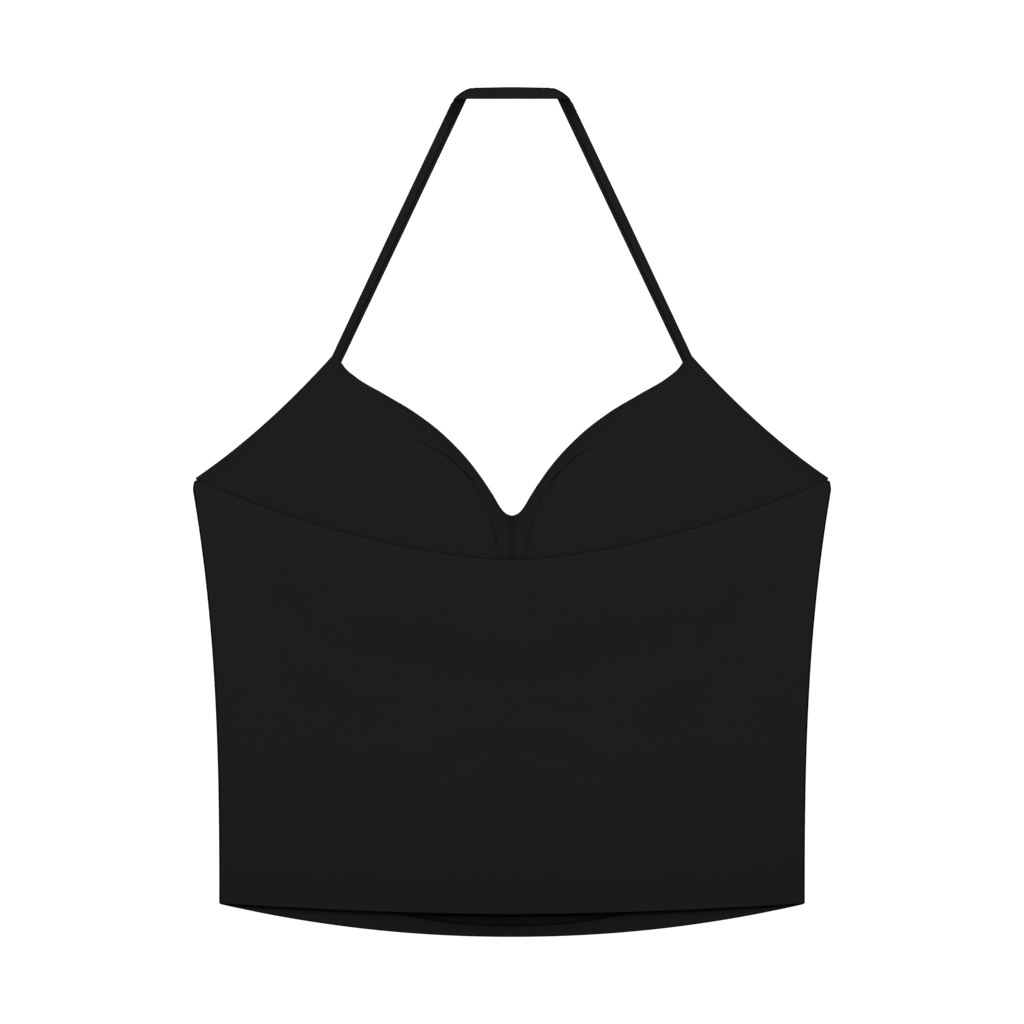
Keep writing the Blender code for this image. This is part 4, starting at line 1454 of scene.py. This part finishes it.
def stitch_template(length):
    """Points and faces of one bar along X, which rises in its middle."""
    shape = np.array(STITCH_SHAPE)
    turn = np.arange(STITCH_SIDES) * 2 * math.pi / STITCH_SIDES
    along = shape[:, 0, None] * length / 2 + 0 * turn
    beside = shape[:, 2, None] * STITCH_HALF_WIDTH * np.cos(turn)
    above = shape[:, 1, None] + shape[:, 2, None] * STITCH_HALF_HEIGHT * np.sin(turn)
    points = grid_of(along, beside, above).reshape(-1, 3)
    return points, capped_faces(len(shape), STITCH_SIDES)


def place_copies(template, places, forward, upward):
    """A copy of the template's points at each place, turned to the seam and the surface."""
    points, faces = template
    beside = unit(np.cross(upward, forward))
    level = np.cross(beside, upward)
    moved = (
        places[:, None]
        + level[:, None] * points[:, :1]
        + beside[:, None] * points[:, 1:2]
        + upward[:, None] * points[:, 2:]
    )
    size = len(points)
    shifted = [[corner + size * n for corner in face] for n in range(len(places)) for face in faces]
    return moved.reshape(-1, 3), shifted


def joined(parts):
    """Several lots of points and faces as one."""
    points, faces, start = [], [], 0
    for some_points, some_faces in parts:
        points.append(some_points)
        faces += [[corner + start for corner in face] for face in some_faces]
        start += len(some_points)
    return np.concatenate(points), faces


def on_surface(height, line, above):
    """Points over a line on a height function's surface, with its normals there."""
    step = 0.3
    across, up = line[:, 0], line[:, 1]
    tilt_across = (height(across + step, up) - height(across - step, up)) / (2 * step)
    tilt_up = (height(across, up + step) - height(across, up - step)) / (2 * step)
    normal = unit(grid_of(-tilt_across, -tilt_up, 1.0))
    return grid_of(across, up, height(across, up)) + normal * above, normal


def stitch_row(line, places, pitch, height, above, side=1):
    """Stitches along a line, one at every whole number of pitches, so that the holes come between.

    Side is -1 where they lie on a face that looks down.
    """
    at = np.arange(math.ceil(places[0] / pitch), math.floor(places[-1] / pitch) + 1) * pitch
    here, ahead = (read_off(place, places, line) for place in (at, at + AHEAD))
    points, normal = on_surface(height, here, above)
    forward = unit(grid_of(*(ahead - here).T, 0.0))
    return place_copies(stitch_template(pitch * STITCH_SHARE), points, forward, normal * side)


# %% Rows along the cups
ARMHOLE_END = 1.0  # the rows stop this far from the side corner
NECK_ROWS_FROM = 1.5  # and start this far from the middle seam
NECK_ROWS_TO = 139.0  # where the neckline's rows stop, along the edge
ROW_PAST_STRAP = 4.0  # the armhole's rows start this far under the strap's end
CORNER_SLACK = 0.06  # how much nearer to another part of the edge a row may lie
CUP_ROW_PLACES = (CUP_NEEDLE_ROW, CUP_NEEDLE_ROW + CUP_ROW_SPACING / MM)


def inside_edge(distance, start, end):
    """A line at a distance inside the cups' upper edge, without the part that corners cut off."""
    line = edge_line - edge_outward * distance
    kept = (edge_places >= start) & (edge_places <= end)
    nearest = np.linalg.norm(line[:, None] - edge_line, axis=-1).min(1)
    kept &= nearest > distance - CORNER_SLACK
    return line[kept], edge_places[kept]


def cup_rows(height, above, side):
    """Both rows on both edges of the right-hand cup."""
    armhole_rows = (strap_place - ROW_PAST_STRAP, edge_places[-1] - ARMHOLE_END)
    rows = []
    for distance in CUP_ROW_PLACES:
        for start, end in ((NECK_ROWS_FROM, NECK_ROWS_TO), armhole_rows):
            line, places = inside_edge(distance, start, end)
            rows.append(stitch_row(line, places, CUP_PITCH / MM, height, above, side))
    return joined(rows)


def both_sides(points, faces):
    """The same stitches on the left too; mirroring turns the faces over, so they are turned back."""
    return joined([(points, faces), (points * (-1, 1, 1), turned_over(faces))])


for name, word, rows in (
    ("cup_needle_rows", "lining", (lining_height, ON_TOP, 1)),
    ("cup_outer_needle_rows", "jersey", (cup_front_height, UNDERNEATH, -1)),
):
    piece = add_piece(name, *both_sides(*cup_rows(*rows)), thread)

# %% Rows along the hems
ROW_END = 3.0  # from the side
HEM_ROW_RISE = 0.07
BACK_ROWS = (LOWER_NEEDLE_ROW, UPPER_NEEDLE_ROW)
FRONT_ROWS = (FIRST_NEEDLE_ROW, FIRST_NEEDLE_ROW + HEM_ROW_SPACING / MM)


def hem_rows(row_line, row_places, height, above, side):
    """Rows across the whole garment, on lines whose height depends on across and on the row."""
    rows = []
    for place in row_places:
        across = np.linspace(-1, 1, 400) * (half_width(row_line(0.0, place)) - ROW_END)
        line = grid_of(across, row_line(across, place))
        rows.append(stitch_row(line, across, HEM_PITCH / MM, height, above, side))
    return joined(rows)


def front_row_line(across, place):
    return front_band(across) + place


for name, rows in (
    ("back_hem_needle_rows", (needle_line, BACK_ROWS, back_height, ON_TOP + HEM_ROW_RISE, 1)),
    ("front_hem_needle_rows", (front_row_line, FRONT_ROWS, front_height, UNDERNEATH, -1)),
):
    piece = add_piece(name, *hem_rows(*rows), hem_thread)

# %% [markdown]
# ## Threads on the wrong side
#
# Inside the front hem, the looper threads of the cover stitching zigzag over the raw edge.  Each
# is a thin tube along a zigzag path.

# %% Thread tubes
THREAD_SIDES = 5
TIP_ROUNDING = 0.96  # 1 gives sharp tips


def thread_tube(path, radius):
    """A round thread along a path of points; its ends are closed with flat caps."""
    forward = unit(np.gradient(path, axis=0))
    beside = unit(np.cross(forward, (0.0, 0.0, 1.0)))
    above = np.cross(beside, forward)
    turn = np.arange(THREAD_SIDES) * 2 * math.pi / THREAD_SIDES
    ring = beside[:, None] * np.cos(turn)[:, None] + above[:, None] * np.sin(turn)[:, None]
    points = (path[:, None] + ring * radius).reshape(-1, 3)
    return points, turned_over(capped_faces(len(path), THREAD_SIDES))


def zigzag(count, points_per_turn, phase=0.0):
    """Steps along, and a wave from -1 to 1 with rounded tips."""
    t = np.arange(count * points_per_turn + 1) / points_per_turn
    wave = 2 / math.pi * np.arcsin(TIP_ROUNDING * np.sin(2 * math.pi * (t + phase)))
    return t, wave


# %% Front hem loopers
LOOPER_PITCH = 1.7
LOOPER_RADIUS = 0.15
LOOPER_REACH = 150.0
LOOPER_MIDDLE = 0.54  # share of the band's width
LOOPER_STEP = (-0.2, 0.4)  # beside the raw edge, where it comes down from the turn-up
LOOPERS = (
    # phase, height of its middle above the cloth
    (0, 0.14), (0.3, 0.26),
)


def looper(phase, lift):
    """Over the turn-up's face, and down to the front's own face beyond the raw edge."""
    t, wave = zigzag(int(2 * LOOPER_REACH / LOOPER_PITCH), 6, phase)
    across = t * LOOPER_PITCH - LOOPER_REACH
    up = front_band(across) + BAND_WIDTH * (LOOPER_MIDDLE + wave / 2)
    fall = 2 * FOLD_RADIUS * ramp(up - front_raw_edge(across), *LOOPER_STEP)
    top = turn_up_height(across, up) + LAYER / 2 - fall
    return thread_tube(grid_of(across, up, top + lift), LOOPER_RADIUS)


hem_loopers = joined([looper(*row) for row in LOOPERS])
piece = add_piece("front_hem_looper_threads", *hem_loopers, looper_thread)

# %% [markdown]
# ## The middle seam
#
# Where the two linings are joined, their seam allowances make a narrow band with a raised edge.
# A zigzag crosses it, with needle holes where it turns.

# %% Middle seam band and its zigzag
SEAM_TOP_UP = 260.4
SEAM_LOW_UP = 226.0
SEAM_BAND = (-1.9, 2.6)  # from and to, across
SEAM_BAND_THICKNESS = 0.3
SEAM_SINK = 0.1
SEAM_RIDGE = (2.15, 0.32, 0.1)  # across, half width, height
ZIGZAG_PITCH = 2.5
ZIGZAG_FROM_UP = 103.75 * ZIGZAG_PITCH  # so that its right-hand turns meet the needle holes
ZIGZAG_HALF_WIDTH = 0.95
ZIGZAG_MIDDLE = -0.5
ZIGZAG_RADIUS = 0.2
HOLES_ACROSS = 0.95
BESIDE_SEAM = 3.2  # place across where the band takes the lining's height
SINK_FROM = (0.2, 0.7)  # from the band's left side, between which it goes down
SINK_TO = (1.3, 1.9)  # across, between which it comes up to the ridge
BAND_RIM = 0.1  # width of the rim that goes down into the lining on both sides
BAND_RIM_DROP = 0.3
ZIGZAG_RISE = 0.1


def seam_band_height(across, up):
    """The lining's face beside the seam, sunk between the band's two edges."""
    base = lining_height(0 * across + BESIDE_SEAM, up) + LAYER / 2
    sunk = ramp(across - SEAM_BAND[0], *SINK_FROM) * (1 - ramp(across, *SINK_TO))
    ridge_place, ridge_width, ridge_rise = SEAM_RIDGE
    ridge = ridge_rise * hill(across, ridge_place, ridge_width)
    rim = (across < SEAM_BAND[0] + BAND_RIM) | (across > SEAM_BAND[1] - BAND_RIM)
    return base + ridge - SEAM_SINK * sunk - BAND_RIM_DROP * rim


def make_seam_band():
    across = np.linspace(*SEAM_BAND, 40)[None, :]
    up = np.linspace(SEAM_LOW_UP, SEAM_TOP_UP, 100)[:, None]
    middle = grid_of(across, up, seam_band_height(across + 0 * up, up + 0 * across))
    seam = grid_of(up * CUP_PITCH / MM / ZIGZAG_PITCH, HOLES_ACROSS - across)
    return middle, middle[..., :2], seam


def middle_zigzag():
    t, wave = zigzag(int((ZIGZAG_FROM_UP - SEAM_LOW_UP) / ZIGZAG_PITCH), 12)
    up = ZIGZAG_FROM_UP - t * ZIGZAG_PITCH
    across = ZIGZAG_MIDDLE + wave * ZIGZAG_HALF_WIDTH
    height = seam_band_height(across, up) + SEAM_BAND_THICKNESS / 2 + ZIGZAG_RISE
    return thread_tube(grid_of(across, up, height), ZIGZAG_RADIUS)


piece = add_cloth("middle_seam_band", *make_seam_band(), seam_jersey, SEAM_BAND_THICKNESS)
piece = add_piece("middle_seam_zigzag", *middle_zigzag(), thread)
